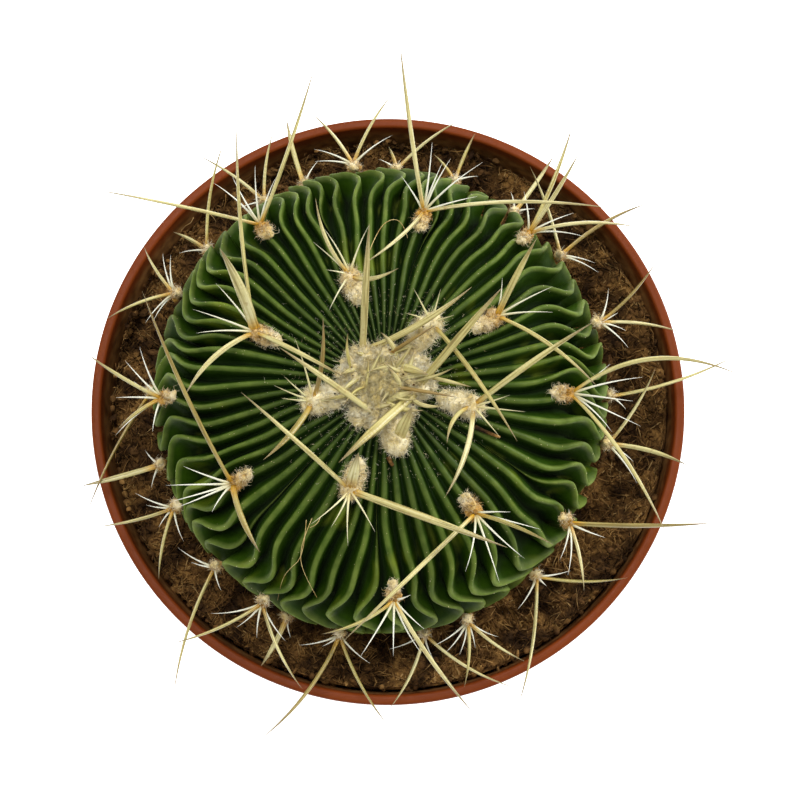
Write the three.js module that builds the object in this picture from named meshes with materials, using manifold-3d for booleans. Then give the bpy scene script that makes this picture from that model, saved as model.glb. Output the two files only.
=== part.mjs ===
// Potted round cactus: a many-ribbed, flattened globe with long straw-coloured spines,
// growing in coir in a small round plastic nursery pot.
//
// Millimetres, +Z up. The origin is the middle of the pot's flat underside. The plant is
// worked out in a frame of its own, whose zero height is the plane of the pot's rim.

import * as THREE from 'three';
import { mergeVertices } from 'three/addons/utils/BufferGeometryUtils.js';
import Module from 'manifold-3d';

const wasm = await Module();
wasm.setup();
const { Manifold, Mesh: SolidMesh } = wasm;

const TAU = 2 * Math.PI;
const { sin, cos, abs, sign, min, max, hypot, round, atan2, tan, exp } = Math;
const rad = THREE.MathUtils.degToRad;
const { clamp, smoothstep, lerp } = THREE.MathUtils;

// Driving dimensions

const CLEARANCE = 0.3;

// The collar is a broad band under the rim, a little wider than the wall that it stands on.
const POT = {
  height: 66,
  rimRadius: 42.5,
  rimBand: 1.5,
  lip: 1.4,
  bevel: 0.5,
  collarHeight: 12,
  collarFoot: 41.6,
  step: 0.4,
  wallTop: 40.3,
  footRadius: 29.6,
  wall: 1.2,
  floor: 2.8,
  edge: 1.2,
  segments: 40,
};

// The underside is a flat disc and a flat foot ring, with a shallow channel between them
// that the drainage holes open into.
const UNDERSIDE = { disc: 13, channelIn: 14.5, channelOut: 24, ring: 25, depth: 1.2 };
const DRAIN = { count: 8, radius: 3, circle: 19.3, sides: 12 };

// The soil's surface lies `below` the rim, with low lumps. Its side stops short of it by
// `side`, and its outermost ring is a little lower.
const SOIL = { below: 8, lump: 0.55, rings: [37, 33, 29], side: 5, slump: 0.6, segments: 32 };

// The body's crest line runs round a superellipse. `drawn` is its power: 1 is an ellipse,
// and less is flatter on top with a rounder shoulder.
const BODY = {
  radius: 32,
  stretch: 1.035,
  equator: 6,
  crownRise: 14.5,
  lowerDrop: 20,
  drawn: 0.85,
  dip: 1.2,
  dipRadius: 5,
  crownAt: [-0.1, -0.45],
  leanTo: [-0.8, 0.45],
};

const RIBS = 64;
const RIB = {
  crestThick: 0.9,
  crestMost: 0.26,
  depthCrown: 0.6,
  depthShoulder: 4.4,
  depthFoot: 3.0,
  rowsAt: [6, 13, 21, 30, 39, 49, 59, 69, 79, 90, 102, 116, 131],
};
// Ribs stand closer together on one side of the plant.
const CROWDING = { amount: 0.13, at: rad(110) };
// Crests sway from side to side, and more so on the shoulder than near the crown.
// Each rib starts its sway at a phase of its own, which a few waves round the plant add up to.
const SWAY = { pitches: 0.36, turns: 1.55, atRoot: 0.35, from: 0.25, to: 0.95 };
const PHASE_WAVES = [
  { round: 3, size: 2.2, start: 1 },
  { round: 7, size: 1.1, start: 0 },
  { round: 11, size: 0.3, start: 2 },
];
// A shorter wave ruffles the crests from the shoulder down.
const RUFFLE = { pitches: 0.7, turns: 3.3, atRoot: 0.15, from: 0.5, to: 1.05 };
const RUFFLE_WAVES = [
  { round: 4, size: 1.6, start: 0.4 },
  { round: 9, size: 0.2, start: 1 },
];
// A rib's neighbours are drawn aside with it where it carries a wool pad.
const DRAW = { ribs: 3, along: 0.2 };
// Ribs that start part of the way down: which rib, and where it starts and is full, in
// degrees from the crown.
const SHORT_RIBS = [
  { rib: 12, from: 30, full: 60 },
  { rib: 19, from: 36, full: 66 },
  { rib: 30, from: 24, full: 50 },
  { rib: 41, from: 40, full: 70 },
  { rib: 48, from: 26, full: 56 },
  { rib: 58, from: 34, full: 64 },
];
const SHORTEST = 0.14;
// A rib this full can carry a pad.
const FULL_RIB = 0.8;

// The root collar stands in the soil. Heights are above the rim.
const ROOT = { radius: 9, top: -9.4, foot: -11, bottom: -26, sides: 20 };
// The plain well in the soil that the body and the root collar stand in.
const WELL = { aside: 1.6, lip: 0.7, below: 1.2, atCollar: 1.6, gap: 0.5 };

// The eye that the spines were measured from: above the pot and a little to the front.
const EYE = { distance: 300, tilt: rad(9), turn: rad(4.5) };
// A tip's height and its distance depend on each other, so they are worked out in passes.
const SIGHT_PASSES = 6;

// Spines leave the wool from `core` above the surface. A pad reaches `back` towards the
// crown from them.
const PAD = { along: 2, across: 1.3, thick: 1.1, back: 0.8, core: 0.5, sides: 6, rows: 3 };
// Young pads by the crown are larger than old ones down the side. `at` is in degrees.
const PAD_AGES = [
  { at: 12, size: 1.45 },
  { at: 25, size: 1.15 },
  { at: 60, size: 0.95 },
  { at: 90, size: 0.75 },
];
const SPINE = { thick: 0.5, needle: 0.27, arch: 0.05 };
// How wide a flat spine is on its way to the tip, as a share of its most.
const TAPER = [
  { at: 0, wide: 0.8 },
  { at: 0.34, wide: 1 },
  { at: 0.7, wide: 0.7 },
];
// Fine spines rise by an angle that falls from the top of the plant to its side, where
// those that point inwards stay up and those that point outwards lean down.
const FINE_RISE = { onTop: 24, inwards: 30, outwards: -8, spread: 12 };
const CROWN = {
  radius: 6.3,
  lobes: [
    { round: 3, size: 0.5, start: 0.6 },
    { round: 5, size: 0.25, start: 0 },
  ],
  thick: 1.7,
  restsAt: rad(7),
  sunk: 0.2,
  core: 0.3,
  sides: 14,
  rows: 4,
};

// Materials

const PLASTIC = { color: 0xa4512f, roughness: 0.55, metalness: 0 };
const COIR = { color: 0x4a3018, roughness: 1, metalness: 0 };
const SKIN = { color: 0x3f6a22, roughness: 0.55, metalness: 0 };
const STRAW = { color: 0xd2c27a, roughness: 0.5, metalness: 0 };
const WOOL = { color: 0xe6ddc0, roughness: 0.9, metalness: 0 };

function named(name, geometry, look) {
  const mesh = new THREE.Mesh(geometry, new THREE.MeshStandardMaterial(look));
  mesh.name = name;
  return mesh;
}

// A seeded random number between 0 and 1.
function seeded(seed) {
  let state = seed >>> 0;
  return () => {
    state = (state + 0x6d2b79f5) >>> 0;
    let mixed = Math.imul(state ^ (state >>> 15), 1 | state);
    mixed = (mixed + Math.imul(mixed ^ (mixed >>> 7), 61 | mixed)) ^ mixed;
    return ((mixed ^ (mixed >>> 14)) >>> 0) / 4294967296;
  };
}

// Solids and surfaces

function toSolid(geometry) {
  const bare = geometry.clone();
  bare.deleteAttribute('normal');
  bare.deleteAttribute('uv');
  const merged = mergeVertices(bare, 1e-4);
  return new Manifold(
    new SolidMesh({
      numProp: 3,
      vertProperties: new Float32Array(merged.attributes.position.array),
      triVerts: new Uint32Array(merged.index.array),
    }),
  );
}

function toGeometry(solid) {
  const mesh = solid.getMesh();
  const geometry = new THREE.BufferGeometry();
  geometry.setAttribute('position', new THREE.BufferAttribute(mesh.vertProperties, 3));
  geometry.setIndex(new THREE.BufferAttribute(mesh.triVerts, 1));
  geometry.computeVertexNormals();
  return geometry;
}

// The main body of a solid, without any scrap that a cut has left loose beside it.
function largest(solid) {
  const bodies = solid.decompose();
  return bodies.reduce((most, each) => (each.volume() > most.volume() ? each : most));
}

// Closes rings of points into one skin with a point at each end. Every ring has as many
// points, and runs anticlockwise as seen from the last point.
function skin(rings, first, last) {
  const count = rings[0].length;
  const points = [first, ...rings.flat(), last];
  const index = [];
  const at = (ring, k) => 1 + ring * count + (k % count);
  for (let k = 0; k < count; k += 1) {
    index.push(0, at(0, k + 1), at(0, k));
    for (let ring = 0; ring + 1 < rings.length; ring += 1) {
      index.push(at(ring, k), at(ring, k + 1), at(ring + 1, k));
      index.push(at(ring, k + 1), at(ring + 1, k + 1), at(ring + 1, k));
    }
    index.push(at(rings.length - 1, k), at(rings.length - 1, k + 1), points.length - 1);
  }
  const geometry = new THREE.BufferGeometry();
  geometry.setAttribute('position', new THREE.Float32BufferAttribute(points.flat(), 3));
  geometry.setIndex(index);
  return geometry;
}

// The pot

// The outside of the pot's tapered wall at a height above its underside.
function wallRadius(z) {
  const top = POT.height - POT.collarHeight;
  return lerp(POT.footRadius, POT.wallTop, (z - POT.edge) / (top - POT.edge));
}

function potBody() {
  const { height, rimRadius, rimBand, lip, bevel, collarFoot, step } = POT;
  const { footRadius, wall, floor, edge, segments } = POT;
  const collarBottom = height - POT.collarHeight;
  const underCollar = collarBottom - step;
  const turnIn = underCollar - step;
  const outline = [
    [0, 0],
    [UNDERSIDE.disc, 0],
    [UNDERSIDE.channelIn, UNDERSIDE.depth],
    [UNDERSIDE.channelOut, UNDERSIDE.depth],
    [UNDERSIDE.ring, 0],
    [footRadius - edge, 0],
    [footRadius, edge],
    [wallRadius(underCollar), underCollar],
    [collarFoot, collarBottom],
    [rimRadius, height - rimBand],
    [rimRadius, height - bevel],
    [rimRadius - bevel, height],
    [rimRadius - lip + bevel, height],
    [rimRadius - lip, height - bevel],
    [collarFoot - lip, collarBottom + edge],
    [wallRadius(turnIn) - wall, turnIn],
    [wallRadius(floor + edge) - wall, floor + edge],
    [footRadius - wall - edge, floor],
    [0, floor],
  ];
  const lathe = new THREE.LatheGeometry(
    outline.map(([r, z]) => new THREE.Vector2(r, z)),
    segments,
  );
  lathe.rotateX(TAU / 4);
  let solid = toSolid(lathe);
  for (let k = 0; k < DRAIN.count; k += 1) {
    const bore = new THREE.CylinderGeometry(DRAIN.radius, DRAIN.radius, 3 * floor, DRAIN.sides);
    const turn = ((k + 0.5) * TAU) / DRAIN.count;
    bore.rotateX(TAU / 4);
    bore.translate(DRAIN.circle * cos(turn), DRAIN.circle * sin(turn), 0);
    solid = solid.subtract(toSolid(bore));
  }
  return toGeometry(solid);
}

// The soil

// Low lumps over the surface, from -1 to 1 or so: two waves that cross, and a slanted one.
function lumps(x, y) {
  const crossed = sin(0.31 * x + 1.1) * cos(0.27 * y - 0.4);
  const slanted = sin(0.55 * x - 0.48 * y);
  return crossed + 0.6 * slanted;
}

function soilPlug() {
  const ring = (r, heightAt) =>
    Array.from({ length: SOIL.segments }, (_, k) => {
      const turn = (k * TAU) / SOIL.segments;
      const x = r * cos(turn);
      const y = r * sin(turn);
      return [x, y, heightAt(x, y)];
    });
  const flat = (z) => () => z;
  const top = POT.height - SOIL.below;
  const bottom = POT.floor + CLEARANCE;
  const corner = POT.floor + POT.edge;
  const side = top - SOIL.side;
  const outside = wallRadius(side) - POT.wall - CLEARANCE;
  const surface = (x, y) => top + SOIL.lump * lumps(x, y);
  const well = crestProfile(rad(RIB.rowsAt.at(-1))).r + WELL.aside;
  const hole = ROOT.radius + WELL.gap;
  const holeTop = POT.height + ROOT.foot - WELL.atCollar;
  const holeFoot = POT.height + ROOT.bottom - CLEARANCE;
  const rings = [
    ring(POT.footRadius - POT.wall - POT.edge - 2 * CLEARANCE, flat(bottom)),
    ring(wallRadius(corner) - POT.wall - 2 * CLEARANCE, flat(corner + CLEARANCE)),
    ring(outside, flat(side)),
    ring(outside, (x, y) => surface(x, y) - SOIL.slump),
    ...SOIL.rings.map((r) => ring(r, surface)),
    ring(well, flat(top - WELL.lip)),
    ring(well, flat(POT.height + ROOT.top - WELL.below)),
    ring(hole, flat(holeTop)),
    ring(hole, flat(holeFoot)),
  ];
  return skin(rings, [0, 0, bottom], [0, 0, holeFoot]);
}

// The plant's body. `colat` is the angle down from the crown, and `rib` counts ribs round.

const power = (base, exponent) => sign(base) * abs(base) ** exponent;

function crestProfile(colat) {
  const { radius, equator, crownRise, lowerDrop, drawn, dip, dipRadius } = BODY;
  const r = radius * sin(colat) ** drawn;
  const rise = cos(colat) > 0 ? crownRise : lowerDrop;
  const outR = sin(colat) ** (2 - drawn) / radius;
  const outZ = power(cos(colat), 2 - drawn) / rise;
  const size = hypot(outR, outZ);
  const sunk = dip * exp(-((r / dipRadius) ** 2));
  return {
    r,
    h: equator + rise * power(cos(colat), drawn) - sunk,
    outR: outR / size,
    outZ: outZ / size,
  };
}

// How far along the rib a place is: 0 at the crown, 1 at the widest part.
const along = (colat) => (colat / (TAU / 4)) ** 0.7;

function shortness(rib, colat) {
  const entry = SHORT_RIBS.find((each) => each.rib === rib % RIBS);
  if (!entry) return 1;
  return lerp(SHORTEST, 1, smoothstep(colat, rad(entry.from), rad(entry.full)));
}

// Column numbers with the short ribs squeezed, as a share of the way round.
function squeezed(rib, colat) {
  let lost = 0;
  let lostInAll = 0;
  for (const entry of SHORT_RIBS) {
    const missing = 1 - shortness(entry.rib, colat);
    lost += missing * clamp(rib - entry.rib + 0.5, 0, 1);
    lostInAll += missing;
  }
  return (rib - lost) / (RIBS - lostInAll);
}

// A sum of waves that close up round the plant.
function waves(list, turn) {
  return list.reduce((sum, wave) => sum + wave.size * sin(wave.round * turn + wave.start), 0);
}

// How far a wave moves a place on rib `rib` sideways, in pitches. `height` is 1 on a crest
// and 0 in a groove.
function sideways(wave, phases, rib, colat, height) {
  const far = along(colat);
  const phase = waves(phases, (TAU * round(rib)) / RIBS);
  const size = wave.pitches * smoothstep(far, wave.from, wave.to);
  return size * sin(TAU * wave.turns * far + phase) * lerp(wave.atRoot, 1, height);
}

// The angle round the plant of a place on rib `rib`, before pads draw the ribs to them.
function freeBearing(rib, colat, height) {
  const turn = TAU * squeezed(rib, colat);
  const sway = sideways(SWAY, PHASE_WAVES, rib, colat, height);
  const ruffle = sideways(RUFFLE, RUFFLE_WAVES, rib, colat, height);
  return turn - CROWDING.amount * sin(turn - CROWDING.at) + (TAU / RIBS) * (sway + ruffle);
}

const draws = [];

// A smooth hump, 1 in the middle and 0 from -1 and 1 outwards.
function hump(x) {
  return abs(x) < 1 ? cos((x * TAU) / 4) ** 2 : 0;
}

function bearing(rib, colat, height) {
  let turn = freeBearing(rib, colat, height);
  for (const draw of draws) {
    const aside = ((rib - draw.rib + 1.5 * RIBS) % RIBS) - RIBS / 2;
    const near = hump(aside / DRAW.ribs) * hump((along(colat) - draw.along) / DRAW.along);
    turn += draw.turn * near;
  }
  return turn;
}

// Turns the ribs round a pad so that one crest passes under it.
function drawRibsTo(turn, colat) {
  let best = { miss: Infinity };
  for (let rib = 0; rib < RIBS; rib += 1) {
    const apart = turn - bearing(rib, colat, 1);
    const miss = atan2(sin(apart), cos(apart));
    if (abs(miss) < abs(best.miss) && shortness(rib, colat) > FULL_RIB) best = { rib, miss };
  }
  draws.push({ rib: best.rib, along: along(colat), turn: best.miss });
}

// The middle of the plant at a distance `r` from it: the crown is a little off the centre.
function middleAt(r) {
  const part = r / BODY.radius;
  return [0, 1].map((k) => BODY.crownAt[k] + BODY.leanTo[k] * part);
}

// A point of the plant, `sunk` below the crests along the surface's own outward direction.
function onPlant(turn, colat, sunk = 0) {
  const { r, h, outR, outZ } = crestProfile(colat);
  const reach = r - sunk * outR;
  const [x, y] = middleAt(r);
  return [x + reach * cos(turn), y + reach * BODY.stretch * sin(turn), h - sunk * outZ];
}

function grooveDepth(colat) {
  const { depthCrown, depthShoulder, depthFoot } = RIB;
  const down = smoothstep(along(colat), 0.1, 1);
  const under = smoothstep(along(colat), 1, 1.3);
  return lerp(lerp(depthCrown, depthShoulder, down), depthFoot, under);
}

function cactusBody() {
  const ringAt = (degrees) => {
    const colat = rad(degrees);
    const pitch = (TAU * crestProfile(colat).r) / RIBS;
    const half = min(RIB.crestMost, RIB.crestThick / 2 / pitch);
    const ring = [];
    for (let rib = 0; rib < RIBS; rib += 1) {
      const depth = grooveDepth(colat);
      const crest = depth * (1 - shortness(rib, colat));
      ring.push(onPlant(bearing(rib - half, colat, 1), colat, crest));
      ring.push(onPlant(bearing(rib + half, colat, 1), colat, crest));
      ring.push(onPlant(bearing(rib + 0.5, colat, 0), colat, depth));
    }
    return ring;
  };
  const rings = RIB.rowsAt.map(ringAt).reverse();
  const top = [...middleAt(0), crestProfile(0).h];
  const foot = [...middleAt(crestProfile(rad(RIB.rowsAt.at(-1))).r), ROOT.foot];
  return toSolid(skin(rings, foot, top));
}

function rootCollar() {
  const length = ROOT.top - ROOT.bottom;
  const stem = new THREE.CylinderGeometry(ROOT.radius, ROOT.radius, length, ROOT.sides);
  stem.rotateX(TAU / 4);
  stem.translate(0, 0, ROOT.bottom + length / 2);
  return toSolid(stem);
}

// Spines are placed by where their tips are seen. A seen place is measured in millimetres
// across the line of sight, on the plane that faces the eye through the middle of the rim.

const toEye = new THREE.Vector3(
  sin(EYE.tilt) * sin(EYE.turn),
  -sin(EYE.tilt) * cos(EYE.turn),
  cos(EYE.tilt),
);
const eye = toEye.clone().multiplyScalar(EYE.distance);
const across = new THREE.Vector3(1, 0, 0).addScaledVector(toEye, -toEye.x).normalize();
const upward = toEye.clone().cross(across);

function seen(point) {
  const ray = point.clone().sub(eye);
  const scale = EYE.distance / -ray.dot(toEye);
  return [ray.dot(across) * scale, ray.dot(upward) * scale];
}

function atHeight([x, y], height) {
  const facing = across.clone().multiplyScalar(x).addScaledVector(upward, y);
  const share = (eye.z - height) / (eye.z - facing.z);
  return eye.clone().lerp(facing, share);
}

// The tip of a spine that is seen at a bearing and length from its root, and rises by an
// angle above the level.
function tipOf(root, degrees, length, rise) {
  const [x, y] = seen(root);
  const target = [x + length * cos(rad(degrees)), y + length * sin(rad(degrees))];
  let tip = atHeight(target, root.z);
  for (let pass = 0; pass < SIGHT_PASSES; pass += 1) {
    const level = hypot(tip.x - root.x, tip.y - root.y);
    tip = atHeight(target, root.z + level * tan(rad(rise)));
  }
  return tip;
}

// A flat spine: four-sided, widest a third of the way out, bowed to its left by `bow` and
// arched a little away from the plant.
function flatSpine(root, tip, out, width, bow) {
  const run = tip.clone().sub(root);
  const length = run.length();
  const ahead = run.clone().normalize();
  const side = new THREE.Vector3().crossVectors(out, ahead).normalize();
  const face = new THREE.Vector3().crossVectors(ahead, side);
  const rings = TAPER.map(({ at, wide }) => {
    const bent = 4 * at * (1 - at);
    const middle = root.clone().addScaledVector(run, at);
    middle.addScaledVector(side, bow * bent);
    middle.addScaledVector(face, SPINE.arch * length * bent);
    const halfWide = (width * wide) / 2;
    const halfThick = (SPINE.thick * (1 + wide)) / 4;
    return [
      middle.clone().addScaledVector(side, halfWide),
      middle.clone().addScaledVector(face, halfThick),
      middle.clone().addScaledVector(side, -halfWide),
      middle.clone().addScaledVector(face, -halfThick),
    ].map((corner) => corner.toArray());
  });
  return toSolid(skin(rings, root.toArray(), tip.toArray()));
}

// A needle: three-sided, tapering all the way to its tip.
function needle(root, tip, out, thick) {
  const ahead = tip.clone().sub(root).normalize();
  const side = new THREE.Vector3().crossVectors(out, ahead).normalize();
  const face = new THREE.Vector3().crossVectors(ahead, side);
  const corners = [0, 1, 2].map((k) => {
    const corner = root.clone().addScaledVector(side, thick * cos((k * TAU) / 3));
    return corner.addScaledVector(face, thick * sin((k * TAU) / 3)).toArray();
  });
  const back = root.clone().addScaledVector(ahead, -thick / 2);
  return toSolid(skin([corners], back.toArray(), tip.toArray()));
}

// The place of a wool pad: where it sits, the way out of the surface, and down the rib.
function seat(longitude, degrees) {
  const turn = rad(longitude);
  const colat = rad(degrees);
  const at = new THREE.Vector3(...onPlant(turn, colat));
  const ahead = new THREE.Vector3(...onPlant(turn, colat + 0.02)).sub(at).normalize();
  const side = new THREE.Vector3(-sin(turn), cos(turn), 0);
  const out = new THREE.Vector3().crossVectors(ahead, side).normalize();
  return { at, ahead, side, out };
}

// How large the pad is at an angle down from the crown.
function padSize(degrees) {
  const older = PAD_AGES.find((age) => degrees <= age.at) ?? PAD_AGES.at(-1);
  const younger = PAD_AGES[max(PAD_AGES.indexOf(older) - 1, 0)];
  const share = clamp((degrees - younger.at) / max(older.at - younger.at, 1), 0, 1);
  return lerp(younger.size, older.size, share);
}

function padSolid({ at, ahead, side, out }, size, grown) {
  const ball = new THREE.SphereGeometry(1, PAD.sides, PAD.rows);
  ball.rotateX(TAU / 4);
  ball.scale(
    PAD.along * size + grown,
    PAD.across * size + grown,
    PAD.thick * size + grown,
  );
  const middle = at.clone().addScaledVector(ahead, -PAD.back * size);
  ball.applyMatrix4(new THREE.Matrix4().makeBasis(ahead, side, out).setPosition(middle));
  return toSolid(ball);
}

function areole(entry, seed) {
  const place = seat(...entry.at);
  const size = padSize(entry.at[1]);
  const parts = [padSolid(place, size, 0)];
  const root = place.at.clone().addScaledVector(place.out, PAD.core * size);
  for (const [degrees, length, rise, width, bow = 0] of entry.long) {
    const tip = tipOf(root, degrees, length, rise);
    parts.push(flatSpine(root, tip, place.out, width, bow));
  }
  const random = seeded(seed);
  const { onTop, inwards, outwards, spread } = FINE_RISE;
  for (const [degrees, length] of entry.fine) {
    const outward = (1 + cos(rad(degrees) - atan2(place.out.y, place.out.x))) / 2;
    const rise = lerp(onTop, lerp(inwards, outwards, outward), 1 - place.out.z);
    const tip = tipOf(root, degrees, length, rise + spread * (random() - 0.5));
    parts.push(needle(root, tip, place.out, SPINE.needle));
  }
  return { solid: Manifold.union(parts), pit: padSolid(place, size, CLEARANCE) };
}

// The wool pads and their spines. `at` is the bearing round the plant and the angle down
// from the crown, in degrees. A long spine is its seen bearing and length, its rise, its
// width and its bow. A fine one is its seen bearing and length.
const AREOLES = [
  // Round the woolly crown.
  {
    at: [51, 15],
    long: [[-54, 21, 24, 0.7, 0.3]],
    fine: [[117, 5.5], [74, 5], [160, 4], [18, 3.5]],
  },
  {
    at: [194, 14],
    long: [[83, 12, 40, 0.7, -0.7], [-130, 11, 25, 0.9, 0.7]],
    fine: [[4, 4.5], [106, 9.5], [139, 5.5], [158, 6], [175, 4.5]],
  },
  {
    at: [346, 19],
    long: [[-125, 6.5, 35, 0.7, -1.1], [-107, 13.5, 22, 0.8, 0.8], [35, 21, 22, 0.9, 0.3]],
    fine: [[17, 5.5], [-6, 7.5], [-49, 6]],
  },
  // On the flat of the top.
  {
    at: [107, 24],
    long: [[114, 12, 30, 0.6, 1], [8, 7, 35, 0.8, -1.2]],
    fine: [[138, 7], [119, 7.5], [69, 7.5], [168, 3.5], [-120, 6]],
  },
  {
    at: [30, 30],
    long: [[63, 12.5, 30, 1, 0.2], [-35, 17.5, 20, 0.7, 0.6]],
    fine: [[82, 5.5], [28, 9], [4, 8]],
  },
  {
    at: [307, 37],
    long: [[-136, 26.5, 22, 0.7, -0.4], [-22, 12, 25, 0.6, 0.4]],
    fine: [[-14, 9.5], [2, 5], [-43, 9.5], [-71, 10.5], [-100, 8.5]],
  },
  {
    at: [253, 23],
    long: [[138, 21, 28, 0.7, -0.2], [77, 5.5, 45, 1.6], [-20, 24, 18, 1.1, 0.1]],
    fine: [[-139, 7.5], [-117, 6], [-92, 8], [-59, 7]],
  },
  {
    at: [158, 31],
    long: [
      [113, 13, 38, 1.7, -0.6],
      [95, 30.5, 18, 0.6, 0.3],
      [-138, 13.5, 15, 0.9, -1],
      [-27, 14.5, 30, 0.7, 0.1],
    ],
    fine: [[129, 9], [160, 9.5], [-179, 8.5]],
  },
  {
    at: [213, 44],
    long: [[115, 30.5, 26, 0.7, -0.1], [-68, 10.5, 15, 1, -0.3]],
    fine: [[160, 7.5], [-179, 9.5], [-164, 9], [-157, 8.5], [-126, 5]],
  },
  {
    at: [76, 45],
    long: [[98, 24.5, 20, 0.7, 0.5], [1, 27, 24, 0.7, 1.1], [-139, 11.5, 32, 0.6, 0.8]],
    fine: [[122, 6], [83, 10], [63, 8.5], [40, 11], [16, 8], [69, 7.5]],
  },
  // On the shoulder.
  {
    at: [127, 56],
    long: [[168, 24, 12, 0.6, 0.7], [71, 24, 18, 0.7, -1.5]],
    fine: [[138, 9], [120, 8], [95, 8.5], [72, 7]],
  },
  {
    at: [358, 50],
    long: [[6, 24.5, 18, 0.7, 3.4], [-56, 24.5, 14, 0.7, 0.5]],
    fine: [[37, 7], [13, 10.5], [-7, 9], [-25, 11], [-43, 8]],
  },
  {
    at: [46, 64],
    long: [[68, 16.5, 12, 0.7, -0.1], [58, 13.5, 28, 0.7], [3, 15.5, 20, 0.9, 0.7]],
    fine: [[97, 6], [24, 7], [-4, 8]],
  },
  {
    at: [274, 57],
    long: [[-155, 11.5, 16, 0.6, 0.5], [-55, 19.5, 12, 0.7, -0.2]],
    fine: [[-121, 9.5], [-91, 8], [-63, 8.5], [-44, 6], [18, 2.5]],
  },
  {
    at: [326, 73],
    long: [[0, 20.5, 10, 1, 0.6], [-78, 10, 2, 0.6]],
    fine: [[-22, 5.5], [-105, 5.5], [-92, 7.5], [94, 2]],
  },
  {
    at: [182, 66],
    long: [[149, 12.5, 22, 0.7, -0.1], [-145, 7.5, 10, 0.8, -0.1]],
    fine: [[179, 6.5], [-141, 8.5], [-105, 5], [134, 7.5], [113, 8]],
  },
  // Round the widest part.
  {
    at: [97, 81],
    long: [[129, 9.5, 12, 0.7], [61, 11.5, 6, 0.7, -0.2]],
    fine: [[37, 7], [158, 6], [175, 5.5]],
  },
  {
    at: [18, 82],
    long: [[47, 12, 15, 0.6], [-7, 12, 5, 0.6, 0.4]],
    fine: [[75, 5], [28, 3], [-17, 4], [-41, 5.5]],
  },
  {
    at: [349, 91],
    long: [[-15, 12, 3, 0.9, -0.4], [58, 13, 18, 0.6, -0.4]],
    fine: [[-53, 7], [-34, 4.5]],
  },
  {
    at: [312, 90],
    long: [[-1, 13, 4, 0.7, -0.9], [-98, 18.5, 10, 1, 0.7]],
    fine: [[10, 5], [-120, 5.5], [-45, 2]],
  },
  {
    at: [292, 92],
    long: [[-35, 10, 5, 0.7, -0.2], [-93, 9.5, 0, 0.7]],
    fine: [[-144, 6], [-125, 5.5], [-104, 5], [-74, 4], [-27, 5]],
  },
  {
    at: [281, 98],
    long: [[-115, 12, 2, 0.9, -0.5], [-31, 15, 4, 0.6, 0.9]],
    fine: [[-156, 5.5], [-70, 4]],
  },
  {
    at: [260, 94],
    long: [[-127, 18.5, 12, 0.9, -0.7], [-62, 14.5, 6, 0.9]],
    fine: [[-166, 6], [-147, 3], [-43, 6]],
  },
  {
    at: [240, 83],
    long: [[-156, 14, 6, 0.7], [-65, 13.5, 16, 0.7, -0.3]],
    fine: [[-169, 7.5], [-137, 5], [-99, 5], [-58, 6.5]],
  },
  {
    at: [225, 90],
    long: [[-108, 19, 7, 0.7]],
    fine: [[152, 6], [168, 3.5], [-75, 3.5]],
  },
  {
    at: [208, 84],
    long: [[-166, 11, 5, 0.7, -0.3], [-102, 10.5, -4, 0.6, 0.3]],
    fine: [[159, 6], [174, 4], [-128, 3.5], [-74, 5]],
  },
  { at: [196, 93], long: [[-165, 11.5, 2, 0.9]], fine: [[133, 3], [-109, 3.5]] },
  { at: [178, 92], long: [[-118, 19.5, 3, 0.7, -1]], fine: [[150, 3]] },
  {
    at: [154, 84],
    long: [[123, 8, 12, 0.6], [-159, 10.5, 5, 0.6, 0.2]],
    fine: [[106, 6], [95, 5.5], [-134, 6], [-127, 5]],
  },
  {
    at: [38, 91],
    long: [[31, 14.5, 1, 1, -0.4], [109, 13.5, 20, 0.9, -0.8]],
    fine: [[-24, 6], [-12, 5]],
  },
  // Lower down, half hidden under the shoulder.
  { at: [140, 92], long: [[151, 5.5, 2, 0.9], [81, 16, 12, 0.7, -0.2]], fine: [[-175, 4]] },
  { at: [121, 92], long: [[145, 11.5, 2, 0.7, -0.2], [83, 10, 10, 0.7]], fine: [[-165, 4]] },
  { at: [110, 94], long: [[105, 10, 3, 0.9]], fine: [[60, 4]] },
  { at: [86, 92], long: [[38, 11.5, 4, 0.7], [110, 3.5, 15, 0.6]], fine: [[150, 3]] },
  { at: [71, 92], long: [[128, 5, 10, 0.6], [67, 7.5, 4, 0.6]], fine: [[12, 3.5]] },
  { at: [54, 92], long: [[55, 10, 4, 0.7]], fine: [[100, 3], [10, 3]] },
  { at: [1, 93], long: [[18, 19, 4, 1, -0.2]], fine: [[-40, 3]] },
  { at: [246, 98], long: [[-118, 8, -4, 1]], fine: [[-80, 3]] },
];

// The woolly crown. A spine is where it starts from the middle of the wool, then as above.
const CROWN_SPINES = [
  { from: [-3, 4.4], spine: [87, 18.5, 32, 1.1] },
  { from: [-2, 5], spine: [31, 17, 22, 1, -0.8] },
  { from: [4, -0.9], spine: [50, 19.5, 30, 1.2] },
  { from: [4.6, -0.7], spine: [-138, 15.5, 25, 1.4] },
  { from: [-0.7, -4.4], spine: [145, 17.5, 28, 0.9] },
  { from: [-0.3, 3.6], spine: [32, 9, 30, 0.6] },
  { from: [-0.9, 0], spine: [-9, 11.5, 20, 0.6] },
  { from: [5.2, 1.2], spine: [-13, 7, 25, 0.6] },
  { from: [-0.5, -2.4], spine: [19, 5, 35, 1.2] },
  { from: [1.3, 2.7], spine: [-16, 5, 40, 1.3] },
];
const CROWN_TUFT = { at: [283, 11], spine: [66, 5.5, 45, 1.8] };

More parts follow.
